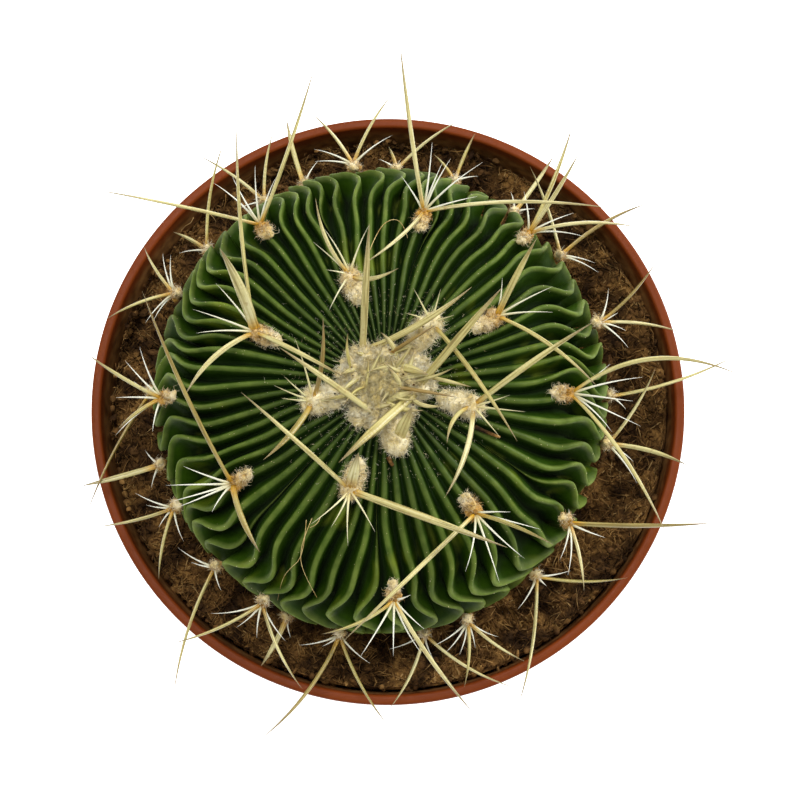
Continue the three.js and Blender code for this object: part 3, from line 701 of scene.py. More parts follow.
# %% Pads and their spines
PADS = [
    ((51, 15), [(-54, 21, 24, 0.7, 0.3)], [(117, 5.5), (74, 5), (160, 4), (18, 3.5)]),
    ((194, 14), [(83, 12, 40, 0.7, -0.7), (-130, 11, 25, 0.9, 0.7)],
     [(4, 4.5), (106, 9.5), (139, 5.5), (158, 6), (175, 4.5)]),
    ((346, 19),
     [(-125, 6.5, 35, 0.7, -1.1), (-107, 13.5, 22, 0.8, 0.8), (35, 21, 22, 0.9, 0.3)],
     [(17, 5.5), (-6, 7.5), (-49, 6)]),
    ((107, 24), [(114, 12, 30, 0.6, 1), (8, 7, 35, 0.8, -1.2)],
     [(138, 7), (119, 7.5), (69, 7.5), (168, 3.5), (-120, 6)]),
    ((30, 30), [(63, 12.5, 30, 1, 0.2), (-35, 17.5, 20, 0.7, 0.6)],
     [(82, 5.5), (28, 9), (4, 8)]),
    ((307, 37), [(-136, 26.5, 22, 0.7, -0.4), (-22, 12, 25, 0.6, 0.4)],
     [(-14, 9.5), (2, 5), (-43, 9.5), (-71, 10.5), (-100, 8.5)]),
    ((253, 23), [(138, 21, 28, 0.7, -0.2), (77, 5.5, 45, 1.6, 0), (-20, 24, 18, 1.1, 0.1)],
     [(-139, 7.5), (-117, 6), (-92, 8), (-59, 7)]),
    ((158, 31),
     [(113, 13, 38, 1.7, -0.6), (95, 30.5, 18, 0.6, 0.3), (-138, 13.5, 15, 0.9, -1),
      (-27, 14.5, 30, 0.7, 0.1)],
     [(129, 9), (160, 9.5), (-179, 8.5)]),
    ((213, 44), [(115, 30.5, 26, 0.7, -0.1), (-68, 10.5, 15, 1, -0.3)],
     [(160, 7.5), (-179, 9.5), (-164, 9), (-157, 8.5), (-126, 5)]),
    ((76, 45),
     [(98, 24.5, 20, 0.7, 0.5), (1, 27, 24, 0.7, 0.3), (-139, 11.5, 32, 0.6, 0.8)],
     [(122, 6), (83, 10), (63, 8.5), (40, 11), (16, 8), (69, 7.5)]),
    ((127, 56), [(168, 24, 12, 0.6, 0.7), (71, 24, 18, 0.7, -1.5)],
     [(138, 9), (120, 8), (95, 8.5), (72, 7)]),
    ((358, 50), [(6, 24.5, 18, 0.7, 3.4), (-56, 24.5, 14, 0.7, 0.5)],
     [(37, 7), (13, 10.5), (-7, 9), (-25, 11), (-43, 8)]),
    ((46, 64), [(68, 16.5, 12, 0.7, -0.1), (58, 13.5, 28, 0.7, 0), (3, 15.5, 20, 0.9, 0.7)],
     [(97, 6), (24, 7), (-4, 8)]),
    ((274, 57), [(-155, 11.5, 16, 0.6, 0.5), (-55, 19.5, 12, 0.7, -0.2)],
     [(-121, 9.5), (-91, 8), (-63, 8.5), (-44, 6), (18, 2.5)]),
    ((326, 73), [(0, 20.5, 10, 1, 0.6), (-78, 10, 2, 0.6, 0)],
     [(-22, 5.5), (-105, 5.5), (-92, 7.5), (94, 2)]),
    ((182, 66), [(149, 12.5, 22, 0.7, -0.1), (-145, 7.5, 10, 0.8, -0.1)],
     [(179, 6.5), (-141, 8.5), (-105, 5), (134, 7.5), (113, 8)]),
    ((97, 81), [(129, 9.5, 12, 0.7, 0), (61, 11.5, 6, 0.7, -0.2)],
     [(37, 7), (158, 6), (175, 5.5)]),
    ((18, 82), [(47, 12, 15, 0.6, 0), (-7, 12, 5, 0.6, 0.4)],
     [(75, 5), (28, 3), (-17, 4), (-41, 5.5)]),
    ((349, 91), [(-15, 12, 3, 0.9, -0.4), (58, 13, 18, 0.6, -0.4)], [(-53, 7), (-34, 4.5)]),
    ((312, 90), [(-1, 13, 4, 0.7, -0.9), (-98, 18.5, 10, 1, 0.7)],
     [(10, 5), (-120, 5.5), (-45, 2)]),
    ((292, 92), [(-35, 10, 5, 0.7, -0.2), (-93, 9.5, 0, 0.7, 0)],
     [(-144, 6), (-125, 5.5), (-104, 5), (-74, 4), (-27, 5)]),
    ((281, 98), [(-115, 12, 2, 0.9, -0.5), (-31, 15, 4, 0.6, 0.9)], [(-156, 5.5), (-70, 4)]),
    ((260, 94), [(-127, 18.5, 12, 0.9, -0.7), (-62, 14.5, 6, 0.9, 0)],
     [(-166, 6), (-147, 3), (-43, 6)]),
    ((240, 83), [(-156, 14, 6, 0.7, 0), (-65, 13.5, 16, 0.7, -0.3)],
     [(-169, 7.5), (-137, 5), (-99, 5), (-58, 6.5)]),
    ((225, 90), [(-108, 19, 7, 0.7, 0)], [(152, 6), (168, 3.5), (-75, 3.5)]),
    ((208, 84), [(-166, 11, 5, 0.7, -0.3), (-102, 10.5, -4, 0.6, 0.3)],
     [(159, 6), (174, 4), (-128, 3.5), (-74, 5)]),
    ((196, 93), [(-165, 11.5, 2, 0.9, 0)], [(133, 3), (-109, 3.5)]),
    ((178, 92), [(-118, 19.5, 3, 0.7, -1)], [(150, 3)]),
    ((154, 84), [(123, 8, 12, 0.6, 0), (-159, 10.5, 5, 0.6, 0.2)],
     [(106, 6), (95, 5.5), (-134, 6), (-127, 5)]),
    ((38, 91), [(31, 14.5, 1, 1, -0.4), (109, 13.5, 20, 0.9, -0.8)], [(-24, 6), (-12, 5)]),
    ((140, 92), [(151, 5.5, 2, 0.9, 0), (81, 16, 12, 0.7, -0.2)], [(-175, 4)]),
    ((121, 92), [(145, 11.5, 2, 0.7, -0.2), (83, 10, 10, 0.7, 0)], [(-165, 4)]),
    ((110, 94), [(105, 10, 3, 0.9, 0)], [(60, 4)]),
    ((86, 92), [(38, 11.5, 4, 0.7, 0), (110, 3.5, 15, 0.6, 0)], [(150, 3)]),
    ((71, 92), [(128, 5, 10, 0.6, 0), (67, 7.5, 4, 0.6, 0)], [(12, 3.5)]),
    ((54, 92), [(55, 10, 4, 0.7, 0)], [(100, 3), (10, 3)]),
    ((1, 93), [(18, 19, 4, 1, -0.2)], [(-40, 3)]),
    ((246, 98), [(-118, 8, -4, 1, 0)], [(-80, 3)]),
]
# The young spines of the crown: where each starts from the middle of the wool, then as above,
# and its age, which is 1 for a brown one.
CROWN_SPINES = [
    ((-3, 4.4), (87, 18.5, 32, 1.1, 0), 0.3),
    ((-2, 5), (31, 17, 22, 1, -0.8), 0.2),
    ((4, -0.9), (50, 19.5, 30, 1.2, 0), 0.3),
    ((4.6, -0.7), (-138, 15.5, 25, 1.4, 0), 0.2),
    ((-0.7, -4.4), (145, 17.5, 28, 0.9, 0), 0.3),
    ((-0.3, 3.6), (32, 9, 30, 0.6, 0), 1),
    ((-0.9, 0), (-9, 11.5, 20, 0.6, 0), 1),
    ((5.2, 1.2), (-13, 7, 25, 0.6, 0), 0.4),
    ((-0.5, -2.4), (19, 5, 35, 1.2, 0), 0),
    ((1.3, 2.7), (-16, 5, 40, 1.3, 0), 0),
]
CROWN_TUFT = ((283, 11), (66, 5.5, 45, 1.8, 0))
AREOLE_NODES = [f"areole_{k + 1:02d}" for k in range(len(PADS))]
print(len(PADS), "pads with", sum(len(p[1]) + len(p[2]) for p in PADS), "spines")

# %% Draw the ribs to the pads
draws = []


def bearing(rib, colat, height, body):
    """The angle round the plant after the pads listed so far have drawn the ribs."""
    turn = free_bearing(rib, colat, height, body)
    for pad_rib, pad_along, amount in draws:
        turn = turn + amount * nearness(rib, colat, pad_rib, pad_along)
    return turn


def is_full(rib, colat):
    """Whether a rib has most of its height at a place, so that a pad can sit on it."""
    starts = {number: (start, full) for number, start, full in SHORT_RIBS}
    return rib not in starts or fullness(colat, *starts[rib]) > FULL_RIB


for (longitude, degrees), *_ in PADS:
    colat = math.radians(degrees)
    ribs = np.arange(RIBS)
    apart = math.radians(longitude) - bearing(ribs, colat, 1, BODY)
    miss = np.arctan2(np.sin(apart), np.cos(apart))
    full = np.array([is_full(rib, colat) for rib in ribs])
    chosen = int(np.argmin(np.where(full, np.abs(miss), TAU)))
    draws.append((chosen, float(along(colat)), float(miss[chosen])))
print("the first pad sits on rib", draws[0][0])

# %% [markdown]
# ## The skin of the plant
#
# The skin is waxy and dark green on the flanks. Painted shade takes it nearly to black down in
# the grooves, and along the crests it is a paler green that is partly dust and partly a painted
# highlight. An image wrapped round the plant would be too coarse for ribs this thin. So the tree
# that makes the body stores how high each point is on its rib, and the material follows the ribs
# exactly. Near the crown the green is darker.

# %% Skin
# The groove green is painted shade, and the edge and crest greens are a painted highlight. The
# dusty green on the crests is partly dust and partly a painted highlight.
SKIN = {
    "groove": screen(9, 19, 1), "low flank": screen(33, 56, 5), "flank": screen(44, 69, 7),
    "high flank": screen(43, 66, 11), "edge": screen(54, 80, 14), "crest": screen(60, 88, 17),
    "young": screen(20, 38, 13), "dusty": screen(112, 124, 58), "sunned": screen(116, 128, 30),
    "dull": screen(196, 204, 180), "clear": screen(255, 255, 246),
}


def skin_finish():
    """The green by height on the rib, with painted shade in the grooves and a painted highlight on
    the crests, then crest dust mixed with more painted highlight, mottling, sunned spots and shine.
    """
    finish = Finish("cactus_skin", 0.45, 0.12)
    ridge, edge = finish.attribute("ridge"), finish.attribute("edge")
    tone = finish.attribute("tone")
    mottle = finish.noise(2.2 * MM, 4)
    # Painted shade darkens the flanks to nearly black down in the grooves, and a painted highlight
    # makes the edge and crest of each rib paler.
    flank = finish.ramp(
        ridge,
        (0.0, SKIN["groove"]), (0.28, SKIN["low flank"]), (0.7, SKIN["flank"]),
        (0.93, SKIN["high flank"]), (0.985, SKIN["edge"]), (1.0, SKIN["crest"]),
    )
    far = finish.attribute("far")
    young = finish.ramp(far, (0.25, 0.8), (0.75, 0.0))
    cool = finish.blend(young, flank, SKIN["young"])
    worn = finish.ramp(finish.noise(1.8 * MM, 3), (0.35, 0.5), (0.65, 1.0))
    grown = finish.ramp(far, (0.3, 0.3), (0.85, 1.0))
    # The paler green on the crests is partly dust and partly a painted highlight.
    pale = finish.ramp(edge, (0.02, 0.0), (0.3, 0.8), (1.0, 0.95)) * worn * grown
    crest_dust_and_highlight = finish.blend(pale, cool, SKIN["dusty"])
    patchy = finish.ramp(mottle, (0.3, SKIN["dull"]), (0.7, SKIN["clear"]))
    toned = finish.blend(1.0, crest_dust_and_highlight, patchy, "MULTIPLY")
    spots = finish.ramp(finish.noise(7 * MM, 2), (0.6, 0.0), (0.74, 0.4))
    warm = finish.blend(spots, toned, SKIN["sunned"])
    lit = finish.ramp(tone, (0.0, 0.82), (1.0, 1.12))
    colour = finish.blend(1.0, warm, lit, "MULTIPLY")
    rough = finish.ramp(finish.noise(0.5 * MM), (0.3, 0.38), (0.7, 0.55))
    rough = most(rough, finish.ramp(ridge, (0.15, 0.95), (0.55, 0.0)))
    finish.bump(finish.noise(0.35 * MM, 4), 0.25, 0.1 * MM)
    return finish.wear(Base_Color=colour, Roughness=rough)


skin = skin_finish()
print("made the finish", skin.name)

# %% [markdown]
# ## The body
#
# The ribs are folds of the skin, so the body and its ribs are one piece. They could be
# modelled one by one, but then dozens of them would have to sway alike. Instead a flat grid
# is bent into the ribbed ball by the rule above: its columns run down the ribs and its rows
# round the plant. The columns are crowded towards each crest, where the rib is rounded. A
# Repeat zone goes through the pads and adds up how far each draws the ribs aside and how deep
# it notches its crest. The top row shrinks to a point and so does the last one, so merging
# close points closes both ends.

# %% Sizes of the body
MESH = {"Columns a rib": 12, "Rows": 118}
COLUMN_CROWDING = 1.6
# The last row of the skin is at this angle down from the crown.
LAST_ROW = math.radians(131)
# The root collar that stands in the soil, in millimetres from the axis and over the rim.
ROOT = {"radius": 9, "top": -9.4, "foot": -11, "bottom": -26}
ROOT_SIDES, ROOT_STEPS = 48, 6
# Flanks are a little hollow further down, and each crest is a rounded bead.
FLANK_HOLLOW = 0.8
HOLLOW_FROM_TO = (0.3, 0.75)
BEAD_DROP = 0.22 * MM
# A pad sits in a notch: its depth, and its reach across the ribs and along them.
NOTCH, NOTCH_RIBS, NOTCH_ALONG = 0.5 * MM, 0.9, 0.07
# Ripples along the crests: how many waves down a rib, and their share of the depth.
WOBBLE = [(3.1, 0.6), (7.3, 0.3), (15.7, 0.2)]
WOBBLE_DEPTH = 0.35 * MM
WOBBLE_FROM_TO = (0.3, 0.9)
# Points closer than this become one.
TOUCHING = 1e-6
print("the grid has", MESH["Columns a rib"] * RIBS + 1, "columns and", MESH["Rows"], "rows")

# %% How the pads draw and notch the ribs


def sum_over_pads(tree, pads, rib, colat):
    """The turn and the notch that all the pads together give a place."""
    count = tree.add("GeometryNodeAttributeDomainSize", {"Geometry": pads}, "Point Count")
    begin = tree.group.nodes.new("GeometryNodeRepeatInput")
    end = tree.group.nodes.new("GeometryNodeRepeatOutput")
    begin.pair_with_output(end)
    end.repeat_items.clear()
    for label in ("Turn", "Notch"):
        end.repeat_items.new("FLOAT", label)
    tree.group.links.new(count.socket, begin.inputs["Iterations"])
    step = Field(tree, begin.outputs["Iteration"])
    pad_rib, pad_along, turn = [
        tree.add(
            "GeometryNodeSampleIndex", {"Geometry": pads, "Value": tree.read(name), "Index": step},
        )
        for name in ("pad_rib", "pad_along", "pad_turn")
    ]
    drawn = Field(tree, begin.outputs["Turn"]) + turn * nearness(rib, colat, pad_rib, pad_along)
    notch = nearness(rib, colat, pad_rib, pad_along, NOTCH_RIBS, NOTCH_ALONG)
    notched = most(Field(tree, begin.outputs["Notch"]), notch)
    tree.group.links.new(drawn.socket, end.inputs["Turn"])
    tree.group.links.new(notched.socket, end.inputs["Notch"])
    return Field(tree, end.outputs["Turn"]), Field(tree, end.outputs["Notch"])


print("a pad draws the ribs up to", DRAW_RIBS, "away from it")

# %% The grid, the root collar and the ripples


def rib_grid(tree):
    """A flat grid whose points know their rib, the crest nearest to them and their angle down."""
    grid = tree.add("GeometryNodeMeshGrid", {
        "Size X": 1, "Size Y": 1, "Vertices X": tree.size("Columns a rib") * RIBS + 1,
        "Vertices Y": tree.size("Rows"),
    })
    spot = tree.position()
    column = (spot.part("X") + 0.5) * RIBS
    crest = nearest_whole(column)
    step = 1 / (tree.size("Rows") - 1)
    down = spot.part("Y") + 0.5
    grid = tree.store(grid, "rib", crest + power((column - crest) * 2, COLUMN_CROWDING) / 2)
    grid = tree.store(grid, "crest", crest)
    grid = tree.store(grid, "colat", least(down / (1 - step), 1) * LAST_ROW)
    return tree.store(grid, "closing", between((down - 1 + step / 2) / TOUCHING))


def root_collar(tree):
    """The short woody stem under the body, which stands in the soil."""
    stem = tree.add("GeometryNodeMeshCylinder", {
        "Vertices": ROOT_SIDES, "Side Segments": ROOT_STEPS, "Radius": ROOT["radius"] * MM,
        "Depth": (ROOT["top"] - ROOT["bottom"]) * MM,
    })
    height = RIM_HEIGHT + (ROOT["top"] + ROOT["bottom"]) / 2 * MM
    return tree.add("GeometryNodeTransform", {"Geometry": stem, "Translation": (0, 0, height)})


def short_rib_share(crest, colat):
    """How much of its height a rib has: less than 1 near the start of a short one."""
    share = 1
    for number, start, full in SHORT_RIBS:
        here = 1 - least(size_of(crest - number), 1)
        share = share - here * (1 - fullness(colat, start, full))
    return share


def ripples(far, crest):
    """Small dips along a crest, from 0 to about 1."""
    ripple = 0
    for turns, share in WOBBLE:
        ripple = ripple + share * (1 + sine(far * (TAU * turns) + crest * (turns * 1.7))) / 2
    return ripple * ease(far, *WOBBLE_FROM_TO)


dip = float(ripples(1, 0)) * WOBBLE_DEPTH
print("at the widest part, the first crest dips by", round(dip / MM, 2), "mm")

# %% The body's tree


def body_tree(material):
    """The ribbed ball with its root collar, grown from the points that stand for the pads."""
    tree = Tree("ribbed_body", {**BODY, **MESH}, material)
    body = {label: tree.size(label) for label in BODY}
    pads = tree.given()
    grid = rib_grid(tree)
    rib, crest, colat = tree.read("rib"), tree.read("crest"), tree.read("colat")

    radius = crest_profile(colat, body)[0]
    half = least(body["Crest thickness"] / 2 / (radius * (TAU / RIBS)), CREST_MOST)
    aside = size_of(rib - crest)
    flank = 1 - between((aside - half) / (0.5 - half))
    bead = between(aside / half)
    far = along(colat)
    ridge = mix(flank, flank * flank, FLANK_HOLLOW * ease(far, *HOLLOW_FROM_TO))
    short = short_rib_share(crest, colat)
    drawn, notch = sum_over_pads(tree, pads, rib, colat)
    sunk = groove_depth(colat, body) * (1 - ridge * short) + bead * bead * BEAD_DROP
    sunk = sunk + ridge * (notch * NOTCH + ripples(far, crest) * WOBBLE_DEPTH)
    turn = free_bearing(rib, colat, ridge, body) + drawn

    skin_point = on_plant(turn, colat, sunk, body)
    foot_point = (*middle_at(radius), RIM_HEIGHT + ROOT["foot"] * MM)
    closing = tree.read("closing")
    place = tree.vector(*[mix(a, b, closing) for a, b in zip(skin_point, foot_point)])
    grid = tree.store(grid, "ridge", ridge * short)
    grid = tree.store(grid, "edge", 1 - bead)
    grid = tree.store(grid, "far", far)
    grid = tree.store(grid, "tone", 0.5 + 0.5 * sine(crest * 2.4 + sine(crest * 5.1) * 2))
    shaped = tree.add("GeometryNodeFlipFaces", {"Mesh": tree.shape(grid, place)})
    closed = tree.add("GeometryNodeMergeByDistance", {"Geometry": shaped, "Distance": TOUCHING})
    tree.finish(tree.join(closed, root_collar(tree)))
    return tree


pad_points = points_mesh(
    "pad_points", [(0, 0, 0)] * len(draws), pad_rib=[d[0] for d in draws],
    pad_along=[d[1] for d in draws], pad_turn=[d[2] for d in draws],
)
body = body_tree(skin).grow("cactus", pad_points)
settle(body, "cactus_skin", "cactus_body")

# %% [markdown]
# ## Spines
#
# Each pad has one to four long flat spines and some short glassy ones. A tip is found on the
# line of sight to where the picture shows it, at the height that its rise gives. A flat spine
# is broadest in its lower half, thick in the middle and sharp at its edges, and swells a
# little where it leaves the wool. A curve with a round bevel could give the needles but not
# the flat spines. So the tree sets one many-sided tube on each point and bends every tube by
# the same rule, which reads the root, the tip and the widths that the point carries.

# %% Sizes of the spines
SPINE_THICK = 0.5 * MM
# Flat spines are this much slimmer than the widths in the list above.
SLIM = 0.86
PAD_CORE = 0.5 * MM
# Young pads by the crown are large and white, and old ones down the side are small and golden:
# angles down from the crown, a pad's size at each, and the angles between which it ripens.
ANGLES = [12, 25, 60, 90]
PAD_SIZES = [1.45, 1.15, 0.95, 0.75]
RIPENS_BETWEEN = (16, 40)
CROWN_CORE = 0.3 * MM
CROWN_SUNK = 0.2 * MM
CROWN_RESTS = math.radians(7)
SIGHT_PASSES = 6
SMALL_TURN = 0.02
UP = np.array([0, 0, 1])
# The ages of the tuft by the crown and of a brown young spine.
TUFT_AGE, BROWN_AGE = 0.3, 1
# Short young spines that stand in the wool of the crown.
YOUNG = {
    "count": 34, "reach": 4.1 * MM, "length": (3, 7), "rise": (12, 36), "width": (0.45, 0.95),
    "root": 0.7 * MM, "bow": 0.8,
}
GOLDEN_ANGLE = math.radians(137.5)
FINE_RISE = {"on top": 24, "inwards": 30, "outwards": -8, "spread": 12}
NEEDLE_WIDE = 0.36 * MM
NEEDLE_BOW = 0.03
growth = round(PAD_SIZES[0] / PAD_SIZES[-1], 1)
print("a pad by the crown is", growth, "times as large as an old one")

# %% From the picture to a place on the plant


def seen(point):
    """Where a point is seen, across and up, on the plane through the middle of the rim."""
    ray = point - eye
    scale = EYE_DISTANCE / -ray.dot(to_eye)
    return np.array([ray.dot(across), ray.dot(upward)]) * scale


def at_height(spot, height):
    """The point at a height that is seen at a spot."""
    facing = rim_middle + across * spot[0] + upward * spot[1]
    share = (eye[2] - height) / (eye[2] - facing[2])
    return eye + (facing - eye) * share


def ripe(degrees):
    """How old a pad is at an angle down from the crown, from 0 to 1."""
    return float(ease(degrees, *RIPENS_BETWEEN))


def pad_share(degrees):
    """How large a pad is at an angle down from the crown."""
    return float(np.interp(degrees, ANGLES, PAD_SIZES))


def tip_of(root, degrees, length, rise):
    """The tip that is seen at a bearing and a length from the root, given how it rises."""
    turn = math.radians(degrees)
    target = seen(root) + length * MM * np.array([math.cos(turn), math.sin(turn)])
    tip = at_height(target, root[2])
    for _ in range(SIGHT_PASSES):
        level = np.linalg.norm((tip - root)[:2])
        tip = at_height(target, root[2] + level * math.tan(math.radians(rise)))
    return tip


def seat(longitude, degrees):
    """Where a pad sits, the way down the rib, the way aside and the way out."""
    turn, colat = math.radians(longitude), math.radians(degrees)
    place = np.array([float(v) for v in on_plant(turn, colat, 0, BODY)])
    ahead = np.array([float(v) for v in on_plant(turn, colat + SMALL_TURN, 0, BODY)]) - place
    ahead /= np.linalg.norm(ahead)
    aside = np.array([-math.sin(turn), math.cos(turn), 0])
    out = np.cross(ahead, aside)
    out /= np.linalg.norm(out)
    return place, ahead, aside, out


first_seat = [round(float(v) / MM, 1) for v in seat(*PADS[0][0])[0]]
print("the first pad sits at", first_seat, "mm")

# %% List the spines
crown_height = float(crest_profile(CROWN_RESTS, BODY)[1]) + RIM_HEIGHT - CROWN_SUNK
crown_middle = np.array([*CROWN_AT, crown_height])
rng = np.random.default_rng(5)
flats = []
fines = []


def note_flat(root, out, spine, age=1.0):
    """Lists a flat spine."""
    degrees, length, rise, width, bow = spine
    flats.append(SimpleNamespace(
        root=root, tip=tip_of(root, degrees, length, rise), out=out, wide=width * SLIM * MM,
        bow=bow * MM, thick=SPINE_THICK, tone=rng.random(), age=age,
    ))


def note_fine(root, out, degrees, length, age):
    """Lists a fine spine. Those that point away from the plant droop, and the others rise."""
    outward = (1 + math.cos(math.radians(degrees) - math.atan2(out[1], out[0]))) / 2
    level = mix(FINE_RISE["inwards"], FINE_RISE["outwards"], outward)
    rise = mix(FINE_RISE["on top"], level, 1 - out[2])
    rise += FINE_RISE["spread"] * (rng.random() - 0.5)
    fines.append(SimpleNamespace(
        root=root, tip=tip_of(root, degrees, length, rise), out=out, wide=NEEDLE_WIDE,
        bow=length * MM * rng.uniform(-NEEDLE_BOW, NEEDLE_BOW), thick=NEEDLE_WIDE,
        tone=rng.random(), age=age,
    ))


for place, long_spines, fine_spines in PADS:
    at, ahead, aside, out = seat(*place)
    root = at + out * PAD_CORE * pad_share(place[1])
    for spine in long_spines:
        note_flat(root, out, spine)
    for degrees, length in fine_spines:
        note_fine(root, out, degrees, length, ripe(place[1]))
for (x, y), spine, age in CROWN_SPINES:
    note_flat(crown_middle + np.array([x * MM, y * MM, CROWN_CORE]), UP, spine, age)
    if age == BROWN_AGE:
        flats[-1].tone = 1.0
at, ahead, aside, out = seat(*CROWN_TUFT[0])
note_flat(at + out * PAD_CORE, out, CROWN_TUFT[1], TUFT_AGE)
for k in range(YOUNG["count"]):
    turn = k * GOLDEN_ANGLE
    far = YOUNG["reach"] * math.sqrt((k + 0.5) / YOUNG["count"])
    root = crown_middle + np.array([far * math.cos(turn), far * math.sin(turn), YOUNG["root"]])
    note_flat(root, UP, (
        rng.uniform(-180, 180), rng.uniform(*YOUNG["length"]),
        rng.uniform(*YOUNG["rise"]), rng.uniform(*YOUNG["width"]),
        rng.uniform(-YOUNG["bow"], YOUNG["bow"]),
    ), 0.0)
print(len(flats), "flat spines and", len(fines), "fine ones")

# %% Colours of the spines
# Light goes about as deep in every colour, so that thin things don't glow red.
GLOW_RADIUS = (1, 1, 0.9)
STRAW = {
    "cream": screen(212, 205, 160), "straw": screen(194, 185, 128), "tan": screen(171, 160, 96),
    "brown": screen(146, 122, 66), "young green": screen(178, 166, 96),
    "young cream": screen(200, 191, 140), "amber root": screen(192, 146, 30),
    "dry tip": screen(122, 104, 70), "fleck": screen(150, 116, 62),
    "dark lane": screen(150, 138, 88), "lane": screen(228, 222, 190),
    "light lane": screen(255, 255, 250),
}
NEEDLE = {
    "tan root": screen(176, 146, 78), "straw": screen(196, 190, 150),
    "milky": screen(214, 213, 194), "white": screen(228, 227, 212),
    "young root": screen(190, 164, 96), "young": screen(204, 198, 146),
    "young tip": screen(176, 164, 122),
}
# How far the amber of the root reaches, how long the lanes along a spine are, and how far
# apart its fine rings.
AMBER_REACH, LANE, RINGS = 3 * MM, 9 * MM, 0.55 * MM
print(len(STRAW), "colours for the flat spines and", len(NEEDLE), "for the fine ones")

# %% Finishes of the spines


def flat_finish():
    """Straw with an amber root, a dry tip, lanes along the spine and fine rings across it."""
    finish = Finish("straw_spine", 0.35)
    reach, share = finish.attribute("reach"), finish.attribute("share")
    tone = finish.attribute("tone")
    straw_colour = finish.ramp(
        tone, (0.0, STRAW["cream"]), (0.5, STRAW["straw"]), (0.85, STRAW["tan"]),
        (1.0, STRAW["brown"]),
    )
    root_share = finish.ramp(reach * (1 / AMBER_REACH), (0.25, 0.97), (0.9, 0.0))
    age = finish.attribute("age")
    young = finish.ramp(tone, (0.0, STRAW["young green"]), (0.6, STRAW["young cream"]))
    straw_colour = finish.blend(age, young, straw_colour)
    rooted = finish.blend(root_share * age, straw_colour, STRAW["amber root"])
    tip_share = finish.ramp(share, (0.66, 0.0), (0.95, 0.9))
    tipped = finish.blend(tip_share, rooted, STRAW["dry tip"])
    unit = finish.attribute("unit", "Vector")
    lane = finish.add("ShaderNodeTexNoise", {
        "Vector": finish.vector(
            unit.part("X") * 1.3 + tone * 40, unit.part("Y") * 1.3, reach * (1 / LANE),
        ),
        "Scale": 1.6, "Detail": 3,
    })
    marks = finish.ramp(
        lane, (0.34, STRAW["dark lane"]), (0.47, STRAW["lane"]), (0.6, STRAW["light lane"]),
    )
    streaked = finish.blend(0.85, tipped, marks, "MULTIPLY")
    flecks = finish.ramp(finish.noise(0.7 * MM, 3), (0.6, 0.0), (0.72, 0.45))
    colour = finish.blend(flecks, streaked, STRAW["fleck"])
    rings = sine(reach * (TAU / RINGS))
    finish.bump(rings * 0.5 + finish.noise(0.4 * MM), 0.3, 0.05 * MM)
    return finish.wear(
        Base_Color=colour, Subsurface_Weight=0.06, Subsurface_Scale=0.4 * MM,
        Subsurface_Radius=GLOW_RADIUS,
    )


def needle_finish():
    """Milky white from a tan root, and straw-coloured where the needle is young."""
    finish = Finish("glassy_needle", 0.3)
    share = finish.attribute("share")
    white = finish.ramp(
        share, (0.0, NEEDLE["tan root"]), (0.14, NEEDLE["straw"]), (0.35, NEEDLE["milky"]),
        (1.0, NEEDLE["white"]),
    )
    young = finish.ramp(
        share, (0.0, NEEDLE["young root"]), (0.3, NEEDLE["young"]), (1.0, NEEDLE["young tip"]),
    )
    colour = finish.blend(finish.attribute("age"), young, white)
    return finish.wear(
        Base_Color=colour, Subsurface_Weight=0.2, Subsurface_Scale=0.4 * MM,
        Subsurface_Radius=GLOW_RADIUS,
    )


straw, glassy = flat_finish(), needle_finish()
print("made", straw.name, "and", glassy.name)

# %% The spines' tree
SWELLING = {"Swelling": 0.35, "Swelling reach": 1.1 * MM}
# A spine's tip keeps this share of its width, so that it doesn't fade away.
BLUNT = 0.04


def vector_step(step, *values, output=0):
    """One step of vector arithmetic."""
    return values[0].tree.add(
        "ShaderNodeVectorMath", dict(enumerate(values)), output, operation=step,
    )


def spine_tree(name, material, sides, steps, straight):
    """`straight` is 1 for a needle that tapers evenly, and 0 for a flat spine."""
    tree = Tree(name, {
        "Sides": sides, "Steps": steps, "Straight": float(straight), "Arch": 0.05, "Edge": 1.3,
        **SWELLING,
    }, material)
    tube = tree.add("GeometryNodeMeshCylinder", {
        "Vertices": tree.size("Sides"), "Side Segments": tree.size("Steps"),
        "Radius": 1, "Depth": 1,
    }, fill_type="TRIANGLE_FAN")
    tube = tree.store(tube, "unit", tree.position())
    spines = tree.copies(tree.add("GeometryNodeMeshToPoints", {"Mesh": tree.given()}), tube)

    unit = tree.read("unit", "FLOAT_VECTOR")
    root, tip, out = [tree.read(n, "FLOAT_VECTOR") for n in ("root", "tip", "out")]
    wide, thick, bow = [tree.read(n) for n in ("wide", "thick", "bow")]
    t = unit.part("Z") + 0.5
    run = tip - root
    length = vector_step("LENGTH", run, output="Value")
    ahead = vector_step("NORMALIZE", run)
    side = vector_step("NORMALIZE", vector_step("CROSS_PRODUCT", out, ahead))
    face = vector_step("CROSS_PRODUCT", ahead, side)
    bent = 4 * t * (1 - t)
    blade = (1 - t * t * t * t) * (0.8 + t * (1 - t))
    taper = mix(blade, 1 - calc("POWER", t, 1.3), tree.size("Straight")) + BLUNT
    close = t * length / tree.size("Swelling reach")
    swelling = 1 + tree.size("Swelling") * calc("EXPONENT", -1 * close * close)
    half_wide = wide * taper * swelling / 2
    half_thick = thick * (taper + mix(0.5, 0, t)) * swelling / 3
    place = root + run * t + side * (bow * bent) + face * (tree.size("Arch") * length * bent)
    place = place + side * (unit.part("X") * half_wide)
    place = place + face * (power(unit.part("Y"), tree.size("Edge")) * half_thick)
    spines = tree.store(spines, "share", t)
    spines = tree.store(spines, "reach", t * length)
    tree.finish(tree.shape(spines, place))
    return tree


